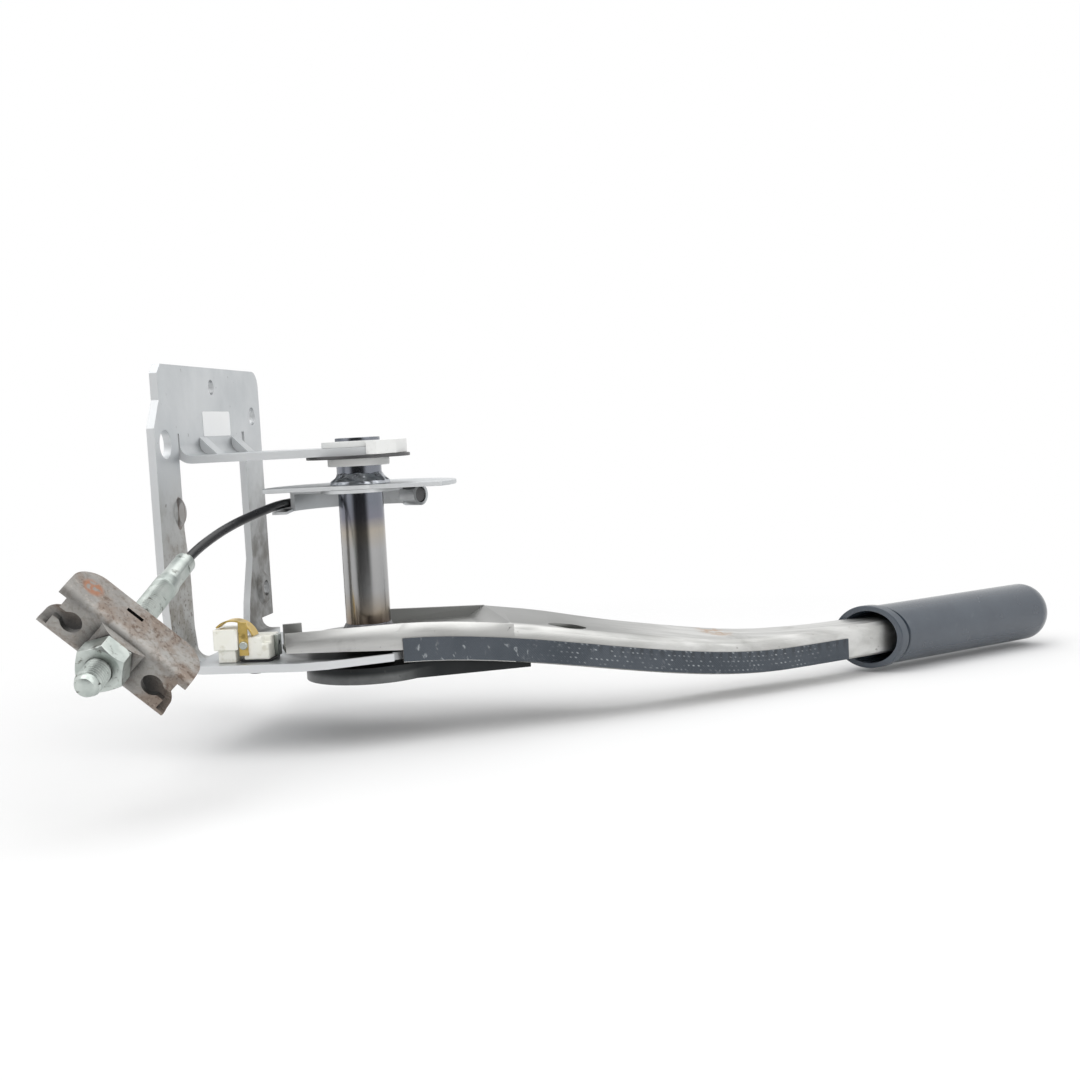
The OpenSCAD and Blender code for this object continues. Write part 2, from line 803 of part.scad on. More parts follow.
// Lower side of the lever, under the bracket's plate, with a turned-down edge
module lever_side_plate() {
  color("#3f4142")
    on_lever()
      difference() {
        union() {
          translate([0, 0, side_z - shell_t]) linear_extrude(shell_t) side_outline(0, side_end);
          translate([0, 0, side_z - shell_t - side_wall])
            linear_extrude(side_wall + 0.5)
              difference() {
                side_outline(0, side_wall_end);
                side_outline(shell_t, side_wall_end + 10);
                translate([0.5, -side_in + shell_t]) square([side_wall_end, 2 * side_in]);
              }
          translate([side_end - 1, -side_in, side_z - shell_t - 1])
            cube([side_wall_end - side_end + 1, shell_t, shell_t + 1]);
        }
        translate([0, 0, side_z - shell_t - 1]) cylinder(h = shell_t + 2, r = tube_r);
        translate([pawl_pivot[0], pawl_pivot[1], side_z - shell_t - 1])
          cylinder(h = shell_t + 2, r = pawl_pin_r);
      }
}

// Outline of the lower side, drawn in by a wall's thickness
module side_outline(inset, run) {
  y = side_in - inset;
  union() {
    circle(r = side_r - inset);
    translate([0, -y]) square([run, y + side_far - inset]);
  }
}

module pawl_pin() {
  head = 1;
  low = side_z - shell_t - head;
  color("#8b8f90")
    on_lever()
      translate([pawl_pivot[0], pawl_pivot[1], low]) {
        cylinder(h = head, r = pawl_pin_r + 1.5);
        cylinder(h = panel_z + shell_t - low, r = pawl_pin_r);
        translate([0, 0, panel_z + shell_t - low]) cylinder(h = head, r = pawl_pin_r + 1.5);
      }
}

// Protective tape along the back wall
module lever_tape() {
  color("#3a4048")
    on_lever()
      loft([for (s = [slot_end : step : tape_end])
        section_ring(s, flat_strip(-tape_t - tape_glue, -tape_glue, -tape_w / 2, tape_w / 2))]);
}

// Slab between two slanted planes, used for the collar and for the groove behind it
module slanted(x0, x1) {
  rotate(collar_slant) translate([x0, -40, -40]) cube([x1 - x0, 80, 80]);
}

module grip() {
  color("#3b4047")
    on_grip()
      difference() {
        union() {
          difference() {
            rotate([0, 90, 0]) rotate_extrude() grip_profile();
            slanted(-60, 1);
          }
          intersection() {
            translate([-30, 0, 0]) rotate([0, 90, 0]) cylinder(h = 60, r = grip_r + collar_lip);
            slanted(0, collar_t);
          }
        }
        difference() {
          translate([-30, 0, 0]) rotate([0, 90, 0]) cylinder(h = 80, r = grip_r + 5);
          translate([-31, 0, 0]) rotate([0, 90, 0]) cylinder(h = 82, r = grip_r - groove_cut);
          slanted(-60, collar_t);
          slanted(collar_t + 2.5, 90);
        }
        translate([-30, 0, 0]) rotate([0, 90, 0]) cylinder(h = bore_end + 30, r = grip_r - grip_wall);
        rotate([0, 90, 0]) cylinder(h = grip_len + 5, r = button_r + seat_gap);
      }
}

// Half outline of the grip with its rounded end, revolved about the grip's axis
module grip_profile() {
  translate([0, -30]) square([grip_r, grip_len - end_round + 30]);
  translate([0, grip_len - end_round - 1]) square([grip_r - end_round, end_round + 1]);
  translate([grip_r - end_round, grip_len - end_round])
    intersection() {
      circle(r = end_round);
      square(end_round);
    }
}

// Return spring of the button, a helix round the release rod
module button_spring() {
  from = seat_at + seat_t;
  spring_len = button_from - from;
  steps = 12 * spring_turns;
  function coil(i) =
    let (a = 30 * i) [from + spring_wire + (spring_len - 2 * spring_wire) * i / steps,
      spring_r * cos(a), spring_r * sin(a)];
  color("#9ea2a3")
    on_grip()
      loft([for (i = [0 : steps]) ring_about(coil(i), coil(i + 1) - coil(i - 1), spring_wire / 2, 6)]);
}

// Disc inside the grip that the spring bears on and the rod runs through
module spring_seat() {
  color("#55585a")
    on_grip()
      rotate([0, 90, 0]) tube_piece(grip_r - grip_wall - seat_gap, release_r + 0.5, seat_at, seat_t);
}

module release_button() {
  color("#26282b")
    on_grip()
      translate([button_from, 0, 0])
        rotate([0, 90, 0]) {
          cylinder(h = grip_len - button_face - button_from, r = button_r);
          cylinder(h = bore_end - free_gap - button_from, r = button_r + 2);
        }
}

// Release rod: straight inside the grip, then slanted down the arm to the pawl
module release_rod() {
  path = [rod_end, rod_bend, grip_point + 10 * grip_axis, grip_point + button_from * grip_axis];
  function along(i) = (path[i + 1] - path[i]) / norm(path[i + 1] - path[i]);
  function heading(i) = i == 0 ? along(0) : i == 3 ? along(2) : along(i - 1) + along(i);
  color("#8b8f90")
    on_lever()
      loft([for (i = [0 : 3]) ring_about(path[i], heading(i), release_r, 12)]);
}

// Pawl: boss on its pin, nose towards the ratchet and a short tail in front of the rod
module pawl() {
  nose = ratchet_r + free_gap;
  color("#6d7072")
    on_lever()
      translate([0, 0, pawl_z])
        difference() {
          union() {
            translate(pawl_pivot) cylinder(h = pawl_t, r = pawl_boss_r);
            linear_extrude(pawl_t)
              polygon([
                [nose, 1.6], [nose + 1.2, 2.6], [nose + 7, -1], pawl_pivot + [4.5, -1],
                pawl_pivot - [4.5, 0], [nose + 1.6, -2.6]
              ]);
            linear_extrude(pawl_t)
              polygon([
                pawl_pivot - [3.5, 1], pawl_pivot + [4, -2], pawl_tail + [2.6, 0], pawl_tail - [2.6, 0]
              ]);
            translate(pawl_tail) cylinder(h = pawl_t, r = pawl_tail_r);
          }
          translate([pawl_pivot[0], pawl_pivot[1], -1]) cylinder(h = pawl_t + 2, r = pawl_pin_r + run_gap);
        }
}

// Free stretch of the cable, swept along its chosen points
module cable_free() {
  n = len(cable_route);
  exit_dir = [-sin(exit_angle), cos(exit_angle), 0];
  rod_dir = [0, -cos(rod_tilt), -sin(rod_tilt)];
  function heading(i) = i == 0 ? exit_dir : i == n - 1 ? rod_dir : cable_route[i + 1] - cable_route[i - 1];
  color("#161719")
    loft([for (i = [0 : n - 1]) ring_about(cable_route[i], heading(i), cable_d / 2, cable_sides)]);
}

module crimp_sleeve() {
  color("#c4c9c4")
    on_rod()
      difference() {
        cylinder(h = sleeve_len, r = sleeve_r);
        for (side = [-1, 1])
          translate([side * (sleeve_r + 1.6) - 2, -10, 6]) cube([4, 20, 10]);
      }
}

module threaded_rod() {
  length = rock_run - sleeve_len + rod_tail;
  color("#c0c5bf")
    on_rod()
      translate([0, 0, sleeve_len]) {
        cylinder(h = length - rod_dome, r = rod_r);
        translate([0, 0, length - rod_dome]) cylinder(h = rod_dome, r1 = rod_r, r2 = rod_r - rod_dome);
      }
}

module adjuster_nut() {
  corner_radius = nut_af / sqrt(3);
  color("#c7cbc8")
    on_rock()
      translate([0, 0, saddle_r + nut_gap])
        difference() {
          intersection() {
            cylinder(h = nut_t, r = corner_radius, $fn = 6);
            union() {
              cylinder(h = nut_t - 1.2, r = corner_radius + 1);
              translate([0, 0, nut_t - 1.2])
                cylinder(h = 1.2, r1 = corner_radius, r2 = corner_radius - 1.6);
            }
          }
          translate([0, 0, -1]) cylinder(h = nut_t + 2, r = rod_r + run_gap);
        }
}

// Equalizer: bent channel with a low round saddle under the nut and a keyhole at each end
module equalizer() {
  half = equalizer_len / 2;
  y = equalizer_w / 2;
  t = equalizer_t;
  inner_w = equalizer_w - 2 * t;
  web = saddle_r - saddle_rise - t;
  color("#8d7663")
    on_rock()
      difference() {
        union() {
          translate([-half, 0, web])
            rotate([90, 0, 90]) linear_extrude(equalizer_len) equalizer_profile();
          difference() {
            rotate([90, 0, 0]) cylinder(h = inner_w, r = saddle_r, center = true);
            translate([-saddle_r - 1, -y, -saddle_r - 1]) cube([2 * saddle_r + 2, 2 * y, saddle_r + web + 1.5]);
          }
        }
        rotate([90, 0, 0]) cylinder(h = inner_w - 0.4, r = saddle_r - t, center = true);
        rod_slot();
        translate([-6, y - t - 1, web - 11]) cube([7, t + 2, 1.8]);
        for (side = [-1, 1]) {
          translate([side * (half - keyhole_in), 0, web - 1]) cylinder(h = t + 2, r = keyhole_r);
          translate([side * (half - keyhole_in / 2 + 1), 0, web + t / 2])
            cube([keyhole_in + 2, keyhole_slot, t + 2], center = true);
          translate([side * (half + web_short), 0, web + t / 2])
            cube([4 * web_short, inner_w - 2, t + 2], center = true);
          for (edge = [-1, 1])
            translate([side * half, edge * y, web + t - equalizer_d])
              rotate([0, 45, 0]) cube([9, 8, 9], center = true);
        }
      }
}

// Section of the equalizer, with the outer radius of its two bends
module equalizer_profile() {
  difference() {
    bent_outline(0);
    bent_outline(equalizer_t);
  }
}
module bent_outline(inset) {
  y = equalizer_w / 2;
  r = equalizer_bend;
  low = equalizer_t - equalizer_d - (inset > 0 ? 1 : 0);
  union() {
    translate([inset - y, low]) square([2 * y - 2 * inset, equalizer_t - r - low]);
    translate([r - y, low]) square([2 * y - 2 * r, equalizer_t - inset - low]);
    for (side = [-1, 1]) translate([side * (y - r), equalizer_t - r]) circle(r = r - inset);
  }
}

// Slot through the saddle, long enough for the equalizer to rock on the rod
module rod_slot() {
  reach = 2.2;
  w = rod_r + 0.5;
  for (side = [-1, 1]) translate([side * reach, 0, -1]) cylinder(h = saddle_r + 3, r = w);
  translate([-reach, -w, -1]) cube([2 * reach, 2 * w, saddle_r + 3]);
}

mounting_bracket();
upper_bush();
bush_cap();
retaining_plate();
lower_bush();
label();
switch_base();
switch_block_left();
switch_block_right();
contact_leaf();
contact_rivet();
switch_terminal();
switch_rivet();
cross_tube();
sector_weld();
shell_weld();
sector_plate();
groove_guide();
cable_nipple();
cable_wrapped();
lever_shell();
lever_arm();
lever_side_plate();
pawl_pin();
lever_tape();
grip();
spring_seat();
button_spring();
release_button();
release_rod();
pawl();
cable_free();
crimp_sleeve();
threaded_rod();
adjuster_nut();
equalizer();
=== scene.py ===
"""Parking brake lever: finishes, rounded edges, threads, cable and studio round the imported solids."""

import json
from math import cos, pi, radians, sin

import bmesh
import bpy
from mathutils import Matrix, Vector

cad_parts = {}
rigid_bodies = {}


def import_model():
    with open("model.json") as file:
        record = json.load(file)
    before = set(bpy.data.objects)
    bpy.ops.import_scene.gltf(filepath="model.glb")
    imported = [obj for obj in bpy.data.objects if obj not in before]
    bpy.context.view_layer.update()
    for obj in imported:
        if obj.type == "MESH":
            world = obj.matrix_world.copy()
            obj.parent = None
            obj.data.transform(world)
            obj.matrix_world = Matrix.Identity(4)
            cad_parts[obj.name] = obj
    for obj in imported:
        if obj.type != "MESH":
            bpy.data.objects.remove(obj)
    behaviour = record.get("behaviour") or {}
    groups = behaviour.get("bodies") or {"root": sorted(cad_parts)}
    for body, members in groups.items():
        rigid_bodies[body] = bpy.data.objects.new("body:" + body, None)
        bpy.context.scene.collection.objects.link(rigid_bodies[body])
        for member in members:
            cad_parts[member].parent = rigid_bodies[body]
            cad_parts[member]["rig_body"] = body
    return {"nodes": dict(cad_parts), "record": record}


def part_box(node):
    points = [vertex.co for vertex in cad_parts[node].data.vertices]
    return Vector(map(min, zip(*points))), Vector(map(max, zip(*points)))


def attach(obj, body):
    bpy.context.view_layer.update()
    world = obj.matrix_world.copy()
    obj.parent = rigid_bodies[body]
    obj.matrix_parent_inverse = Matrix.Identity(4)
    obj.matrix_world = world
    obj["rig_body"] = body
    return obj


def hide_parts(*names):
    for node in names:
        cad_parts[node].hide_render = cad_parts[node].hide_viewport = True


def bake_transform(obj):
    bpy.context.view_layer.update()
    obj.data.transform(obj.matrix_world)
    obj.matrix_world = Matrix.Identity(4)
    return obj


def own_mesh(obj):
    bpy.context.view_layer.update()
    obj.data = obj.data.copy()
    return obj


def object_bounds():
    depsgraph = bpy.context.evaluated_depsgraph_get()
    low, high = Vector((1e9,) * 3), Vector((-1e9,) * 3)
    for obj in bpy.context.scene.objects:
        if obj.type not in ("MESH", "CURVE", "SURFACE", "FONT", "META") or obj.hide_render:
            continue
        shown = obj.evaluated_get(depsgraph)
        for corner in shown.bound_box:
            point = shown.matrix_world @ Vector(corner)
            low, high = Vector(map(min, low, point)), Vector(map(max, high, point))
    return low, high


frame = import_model()
cad_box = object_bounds()
nodes = frame["nodes"]
bpy.ops.object.select_all(action="DESELECT")

MM = 0.001

# Lever and its pressings
PIVOT = Vector((0.0785, 0.0345, -0.095))
LEVER_ANGLE = radians(24)
TRAY_END = 60.0 * MM
WALL_OFFSET = 28.0 * MM
RIM_TOP = 12.4 * MM
RIM_ROLL = 4.0 * MM
RIM_LEAN = 1.5 * MM
RIM_RUN_OUT = 6.0 * MM
ARM_DROP = 25.0 * MM
DROP_FROM = 5.0 * MM
DROP_RUN = 200.0 * MM
PRESSINGS = ("lever_shell", "lever_arm")

# Cable, adjuster rod, equalizer and label
CABLE_RADIUS = 2.0 * MM
CABLE_ROUTE = [
    (0.0433, 0.0404, -0.0293), (0.0416, 0.033, -0.0296), (0.0386, 0.0225, -0.031),
    (0.0345, 0.0125, -0.0332), (0.030, -0.0005, -0.0363), (0.026, -0.0135, -0.0404),
    (0.0232, -0.0245, -0.0446), (0.022, -0.0335, -0.0482),
]
ROD_MOUTH = Vector((0.022, -0.0335, -0.0482))
ROD_TILT = radians(19.3)
ROD_RADIUS = 5.0 * MM
ROD_START = 19.0 * MM
ROD_END = 101.0 * MM
PLAIN_RUN = 6.0 * MM
THREAD_PITCH = 1.25 * MM
THREAD_DEPTH = 0.62 * MM
EQUALIZER_SHEET = 2.5 * MM
EQUALIZER_CORNERS = [(3.6 * MM, (43, 47)), (1.2 * MM, (50, 56))]
LABEL_CORNER = 1.2 * MM

# Rounded edges: width in millimetres and steps round each edge
SHARP_FROM = radians(30)
SMOOTH_TO = radians(38)
EDGES = {
    "mounting_bracket": (0.55, 3),
    "sector_plate": (0.4, 2),
    "groove_guide": (0.25, 2),
    "retaining_plate": (0.25, 2),
    "bush_cap": (0.35, 2),
    "upper_bush": (0.4, 2),
    "lever_shell": (0.6, 3),
    "lever_arm": (0.6, 3),
    "lever_side_plate": (0.5, 3),
    "equalizer": (0.6, 3),
    "adjuster_nut": (0.35, 2),
    "crimp_sleeve": (0.35, 2),
    "switch_block_left": (0.8, 3),
    "switch_block_right": (0.8, 3),
    "switch_base": (0.2, 2),
    "contact_leaf": (0.12, 1),
    "switch_terminal": (0.2, 1),
    "switch_rivet": (0.4, 2),
    "contact_rivet": (0.25, 2),
    "release_button": (0.5, 3),
    "grip": (0.5, 3),
    "cross_tube": (0.3, 2),
    "cable_nipple": (0.3, 2),
}

# Places of the marks, where a span runs from no mark to the full mark
NEAR_LEG_Y = (0.026, 0.012)
NEAR_LEG_X = (0.012, 0.006)
FAR_LEG_Y = (0.060, 0.075)
FAR_LEG_X = (0.016, 0.009)
WATER_MARK = (0.0035, 0.0095, -0.0303)
WATER_STRETCH = (0.2, 1.35, 0.72)
ROLLED_EYE = (0.0975, 0.0600, -0.0300)
LEVER_RUST = (0.2310, 0.1040, -0.1045)
EQUALIZER_RUST = (0.0160, -0.1035, -0.0498)
TUBE_FOOT = -0.102
TUBE_HEAD = 0.0
WEAVE_PITCH = 1.2 * MM
RIB_PITCH = 5.2 * MM
STITCH_PITCH = 2.6 * MM
STITCH_ROWS = 2.1 * MM
SPECK_TONE = (0.10, 0.09, 0.08)

# Camera
SENSOR_WIDTH = 36.0
LENS = 46.97
NEAR_CLIP = 0.01
CAMERA_PLACE = PIVOT + Vector((0.1679, -0.6117, 0.0944))
CAMERA_RIGHT = Vector((0.9890, 0.1382, -0.0528))
CAMERA_DOWN = Vector((-0.0409, -0.0871, -0.9954))
CAMERA_AHEAD = Vector((-0.1422, 0.9866, -0.0805))

# Floor, tent and lamps
FLOOR_RADIUS = 0.46
FLOOR_FADE = 0.30
FLOOR_GAP = 2.0 * MM
AMBIENT = 0.66
OPEN_SIDE = (0.12, -0.99, 0.05)
OPEN_FROM = 0.66
OPEN_TO = 0.92
OPEN_GLOW = 0.05
LAMP_AIM = Vector((0.15, 0.0, -0.05))
LAMPS = [
    ("key", Vector((-0.5, -0.7, 1.3)), 1.3, 8.0),
    ("fill", Vector((1.2, -0.6, 0.9)), 1.2, 5.5),
    ("top", Vector((0.2, 0.4, 1.5)), 1.8, 9.0),
]


# Camera at the photograph's place
def photo_camera():
    data = bpy.data.cameras.new("photo_camera")
    data.sensor_width = SENSOR_WIDTH
    data.lens = LENS
    data.clip_start = NEAR_CLIP
    camera = bpy.data.objects.new("photo_camera", data)
    bpy.context.scene.collection.objects.link(camera)
    turn = Matrix((CAMERA_RIGHT, -CAMERA_DOWN, -CAMERA_AHEAD)).transposed().to_4x4()
    camera.matrix_world = Matrix.Translation(CAMERA_PLACE) @ turn
    bpy.context.scene.camera = camera


photo_camera()


# Node helpers for the finishes
class Finish:
    """A material with a Principled shader and short calls to add nodes to it."""

    def __init__(self, name):
        self.material = bpy.data.materials.new(name)
        self.material.use_nodes = True
        self.tree = self.material.node_tree
        self.shader = self.tree.nodes["Principled BSDF"]
        self.place = self.add("ShaderNodeTexCoord").outputs["Object"]

    def add(self, kind, **values):
        node = self.tree.nodes.new(kind)
        for key, value in values.items():
            setattr(node, key, value)
        return node

    def link(self, source, target):
        self.tree.links.new(source, target)

    def feed(self, socket, value):
        if isinstance(value, (int, float)):
            socket.default_value = value
        elif isinstance(value, tuple):
            socket.default_value = value + (1.0,) if len(socket.default_value) == 4 else value
        else:
            self.link(value, socket)

    def set(self, **values):
        for key, value in values.items():
            self.shader.inputs[key.replace("_", " ")].default_value = value

    def mapped(self, scale=(1, 1, 1), turn=(0, 0, 0), shift=(0, 0, 0)):
        node = self.add("ShaderNodeMapping")
        node.inputs["Scale"].default_value = scale
        node.inputs["Rotation"].default_value = turn
        node.inputs["Location"].default_value = shift
        self.link(self.place, node.inputs["Vector"])
        return node.outputs["Vector"]

    def along_lever(self):
        """Coordinates along, across and above the lever, from the pivot."""
        back = Matrix.Rotation(-LEVER_ANGLE, 3, "Z")
        return self.mapped(turn=(0, 0, -LEVER_ANGLE), shift=tuple(-(back @ PIVOT)))

    def split(self, vector):
        node = self.add("ShaderNodeSeparateXYZ")
        self.link(vector, node.inputs["Vector"])
        return node.outputs["X"], node.outputs["Y"], node.outputs["Z"]

    def joined(self, x, y, z=0.0):
        node = self.add("ShaderNodeCombineXYZ")
        for socket, value in zip(node.inputs, (x, y, z)):
            self.feed(socket, value)
        return node.outputs["Vector"]

    def noise(self, scale, detail=4.0, roughness=0.55, vector=None, distortion=0.0):
        node = self.add("ShaderNodeTexNoise")
        node.inputs["Scale"].default_value = scale
        node.inputs["Detail"].default_value = detail
        node.inputs["Roughness"].default_value = roughness
        node.inputs["Distortion"].default_value = distortion
        self.link(vector or self.place, node.inputs["Vector"])
        return node.outputs["Fac"]

    def ramp(self, source, stops):
        node = self.add("ShaderNodeValToRGB")
        while len(node.color_ramp.elements) < len(stops):
            node.color_ramp.elements.new(0.5)
        for element, (position, colour) in zip(node.color_ramp.elements, stops):
            element.position = position
            element.color = tuple(colour) + (1.0,)
        self.link(source, node.inputs["Fac"])
        return node.outputs["Color"]

    def level(self, source, low, high, start=0.0, end=1.0, kind="LINEAR"):
        node = self.add("ShaderNodeMapRange", interpolation_type=kind)
        node.inputs["From Min"].default_value = start
        node.inputs["From Max"].default_value = end
        node.inputs["To Min"].default_value = low
        node.inputs["To Max"].default_value = high
        self.link(source, node.inputs["Value"])
        return node.outputs["Result"]

    def between(self, source, start, end):
        """0 before start and 1 after end, or the other way round where start is the larger."""
        if start < end:
            return self.level(source, 0.0, 1.0, start, end, "SMOOTHSTEP")
        return self.level(source, 1.0, 0.0, end, start, "SMOOTHSTEP")

    def math(self, kind, first, second=0.0):
        node = self.add("ShaderNodeMath", operation=kind)
        self.feed(node.inputs[0], first)
        self.feed(node.inputs[1], second)
        return node.outputs["Value"]

    def times(self, first, second):
        return self.math("MULTIPLY", first, second)

    def waves(self, source, pitch):
        """Sine waves of a pitch along a length."""
        return self.math("SINE", self.times(source, 2 * pi / pitch))

    def mix(self, factor, first, second):
        node = self.add("ShaderNodeMix", data_type="RGBA")
        self.feed(node.inputs["Factor"], factor)
        self.feed(node.inputs[6], first)
        self.feed(node.inputs[7], second)
        return node.outputs[2]

    def over(self, colour, where, strength, tone):
        """Lays a tone over a colour, at a strength, where a mask is 1."""
        return self.mix(self.times(where, strength), colour, tone)

    def spot(self, centre, inner, outer, stretch=(1, 1, 1)):
        """1 within inner of a place and 0 beyond outer, with the distances stretched along the axes."""
        shift = tuple(-c * s for c, s in zip(centre, stretch))
        node = self.add("ShaderNodeVectorMath", operation="LENGTH")
        self.link(self.mapped(scale=stretch, shift=shift), node.inputs[0])
        return self.between(node.outputs["Value"], outer, inner)

    def painted_corner_shade(self, reach, full=0.75):
        """Painted shade from ambient occlusion: 0 on open faces and 1 deep in corners and hollows, looking
        as far as reach.
        """
        node = self.add("ShaderNodeAmbientOcclusion", samples=8)
        node.inputs["Distance"].default_value = reach
        return self.level(node.outputs["AO"], 1.0, 0.0, 1.0 - full, 0.95, "SMOOTHSTEP")

    def cut_edge(self):
        """1 on the sheet's sheared sides, which face along -Y, and 0 on its other faces."""
        node = self.add("ShaderNodeTexCoord")
        return self.between(self.split(node.outputs["Normal"])[1], -0.55, -0.9)

    def bump(self, source, strength, distance):
        node = self.add("ShaderNodeBump")
        node.inputs["Strength"].default_value = strength
        node.inputs["Distance"].default_value = distance
        self.link(source, node.inputs["Height"])
        self.link(node.outputs["Normal"], self.shader.inputs["Normal"])

    def colour(self, source):
        self.link(source, self.shader.inputs["Base Color"])

    def rough(self, source):
        self.link(source, self.shader.inputs["Roughness"])

    def metallic(self, source):
        self.link(source, self.shader.inputs["Metallic"])


# Metals
def zinc_sheet():
    """Worn plating: grime on the legs, a water mark and pale sheared sides, with painted shade on the far
    leg, the rolled eye and the corners, and a painted shadow on the plate under the tray.
    """
    f = Finish("zinc_sheet")
    x, y, z = f.split(f.place)
    colour = f.mix(f.between(f.noise(30.0, 5.0), 0.3, 0.7), (0.52, 0.545, 0.56), (0.63, 0.65, 0.66))
    brushed = f.noise(60.0, 4.0, vector=f.mapped(scale=(1.0, 1.0, 0.12)))
    colour = f.mix(f.level(brushed, 0.0, 0.35), colour, (0.42, 0.43, 0.445))
    specks = f.between(f.noise(330.0, 3.0), 0.69, 0.75)
    colour = f.over(colour, specks, 0.55, SPECK_TONE)
    # Brown grime on the near leg, thicker towards its foot
    leg = f.times(f.between(y, *NEAR_LEG_Y), f.between(x, *NEAR_LEG_X))
    near = f.times(leg, f.between(z, -0.006, -0.05))
    patchy = f.between(f.noise(75.0, 6.0, 0.65), 0.40, 0.62)
    colour = f.over(colour, near, f.level(patchy, 0.5, 0.95), (0.235, 0.22, 0.19))
    flecks = f.between(f.noise(520.0, 4.0, 0.6), 0.56, 0.66)
    crumbs = f.times(f.between(z, -0.03, -0.075), flecks)
    colour = f.over(colour, f.times(crumbs, leg), 0.75, (0.075, 0.05, 0.035))
    # Painted dark reflection on the far leg, darker towards its foot
    far = f.times(f.between(y, *FAR_LEG_Y), f.between(x, *FAR_LEG_X))
    painted_shading = f.times(far, f.between(z, 0.01, -0.065))
    mottled = f.level(f.between(f.noise(90.0, 5.0, 0.6), 0.35, 0.65), 0.65, 1.0)
    colour = f.over(colour, painted_shading, mottled, (0.105, 0.10, 0.09))
    # Oval water mark on the near leg
    oval = f.spot(WATER_MARK, 0.0050, 0.0054, WATER_STRETCH)
    heart = f.spot(WATER_MARK, 0.0036, 0.0046, WATER_STRETCH)
    ring = f.math("SUBTRACT", oval, f.times(heart, 0.55))
    colour = f.over(colour, ring, 0.75, (0.13, 0.095, 0.08))
    # Painted shade in the corners and hollows
    colour = f.over(colour, f.painted_corner_shade(8 * MM), 0.6, (0.09, 0.085, 0.08))
    # Painted shade on the rolled eye, and a painted shadow on the plate under the tray
    colour = f.over(colour, f.spot(ROLLED_EYE, 0.005, 0.009), 0.8, (0.10, 0.105, 0.108))
    tray_painted_shadow = f.times(f.spot(tuple(PIVOT), 0.035, 0.041), f.between(z, -0.0956, -0.0952))
    colour = f.over(colour, tray_painted_shadow, f.between(z, -0.080, -0.090), (0.035, 0.036, 0.036))
    cut = f.cut_edge()
    f.colour(f.over(colour, cut, 0.8, (0.72, 0.735, 0.745)))
    f.metallic(f.level(cut, 0.92, 0.25))
    f.rough(f.level(f.noise(110.0, 4.0), 0.34, 0.52))
    f.bump(f.noise(650.0, 4.0), 0.14, 0.2 * MM)
    return f


def lever_steel():
    """Drawn streaks along the lever, grime, specks, a rust spot, painted shade inside the tray and in its
    corners, and a matt grey inside of the far flange.
    """
    f = Finish("lever_steel")
    s, n, h = f.split(f.along_lever())
    stretched = f.joined(f.times(s, 14.0), f.times(n, 240.0), f.times(h, 120.0))
    streaks = f.noise(1.0, 5.0, vector=stretched)
    colour = f.mix(f.between(streaks, 0.3, 0.7), (0.47, 0.47, 0.455), (0.66, 0.66, 0.645))
    grime = f.between(f.noise(48.0, 6.0, 0.62), 0.55, 0.75)
    colour = f.over(colour, grime, 0.45, (0.24, 0.235, 0.22))
    specks = f.between(f.noise(300.0, 3.0), 0.70, 0.76)
    colour = f.over(colour, specks, 0.6, SPECK_TONE)
    rust = f.spot(LEVER_RUST, 0.002, 0.012, (1.0, 1.0, 0.4))
    rust = f.times(rust, f.between(f.noise(240.0, 5.0), 0.42, 0.58))
    colour = f.over(colour, rust, 0.85, (0.40, 0.22, 0.09))
    # Painted shade over the low near half of the tray's inside, fading out along the lever
    inside = f.times(f.between(n, -0.0275, -0.0265), f.between(h, 0.0065, 0.004))
    inside = f.times(inside, f.between(n, 0.004, -0.004))
    colour = f.over(colour, inside, f.between(s, 0.075, 0.055), (0.035, 0.037, 0.038))
    # Painted shade on the floor of the tray and on the ramp behind the rolled rim
    hollow = f.times(f.between(s, 0.150, 0.085), f.between(n, -0.025, -0.021))
    painted_shading = f.mix(f.between(s, 0.060, 0.052), (0.19, 0.193, 0.187), (0.30, 0.303, 0.295))
    colour = f.over(colour, hollow, 0.8, painted_shading)
    # Painted shade in the corners
    colour = f.over(colour, f.painted_corner_shade(5 * MM), 0.4, (0.12, 0.12, 0.117))
    # Dull inside of the far flange
    flange = f.times(f.between(n, 0.0215, 0.0255), f.between(s, 0.066, 0.058))
    f.colour(f.over(colour, flange, 0.9, (0.25, 0.253, 0.245)))
    f.metallic(f.level(flange, 0.95, 0.15))
    f.rough(f.level(streaks, 0.28, 0.46))
    f.bump(f.noise(500.0, 4.0), 0.12, 0.2 * MM)
    return f


def tinted_steel():
    """Drawn tube with heat colours at its foot and at its head."""
    f = Finish("tinted_steel")
    f.set(Metallic=1.0)
    z = f.split(f.place)[2]
    wavy = f.math("ADD", z, f.level(f.noise(60.0, 3.0), -0.0025, 0.0025))
    up = f.level(wavy, 0.0, 1.0, TUBE_FOOT, TUBE_HEAD)
    tint = f.ramp(up, [
        (0.00, (0.16, 0.15, 0.15)),
        (0.09, (0.13, 0.105, 0.12)),
        (0.16, (0.20, 0.14, 0.11)),
        (0.22, (0.30, 0.25, 0.19)),
        (0.32, (0.38, 0.38, 0.378)),
        (0.50, (0.42, 0.42, 0.418)),
        (0.58, (0.44, 0.40, 0.34)),
        (0.64, (0.22, 0.22, 0.26)),
        (0.70, (0.19, 0.205, 0.24)),
        (1.00, (0.24, 0.255, 0.29)),
    ])
    drawn = f.noise(1.0, 4.0, vector=f.mapped(scale=(700.0, 700.0, 9.0)))
    f.colour(f.mix(f.level(drawn, 0.0, 0.35), tint, (0.16, 0.16, 0.17)))
    f.rough(f.level(drawn, 0.12, 0.24))
    f.bump(drawn, 0.05, 0.1 * MM)
    return f


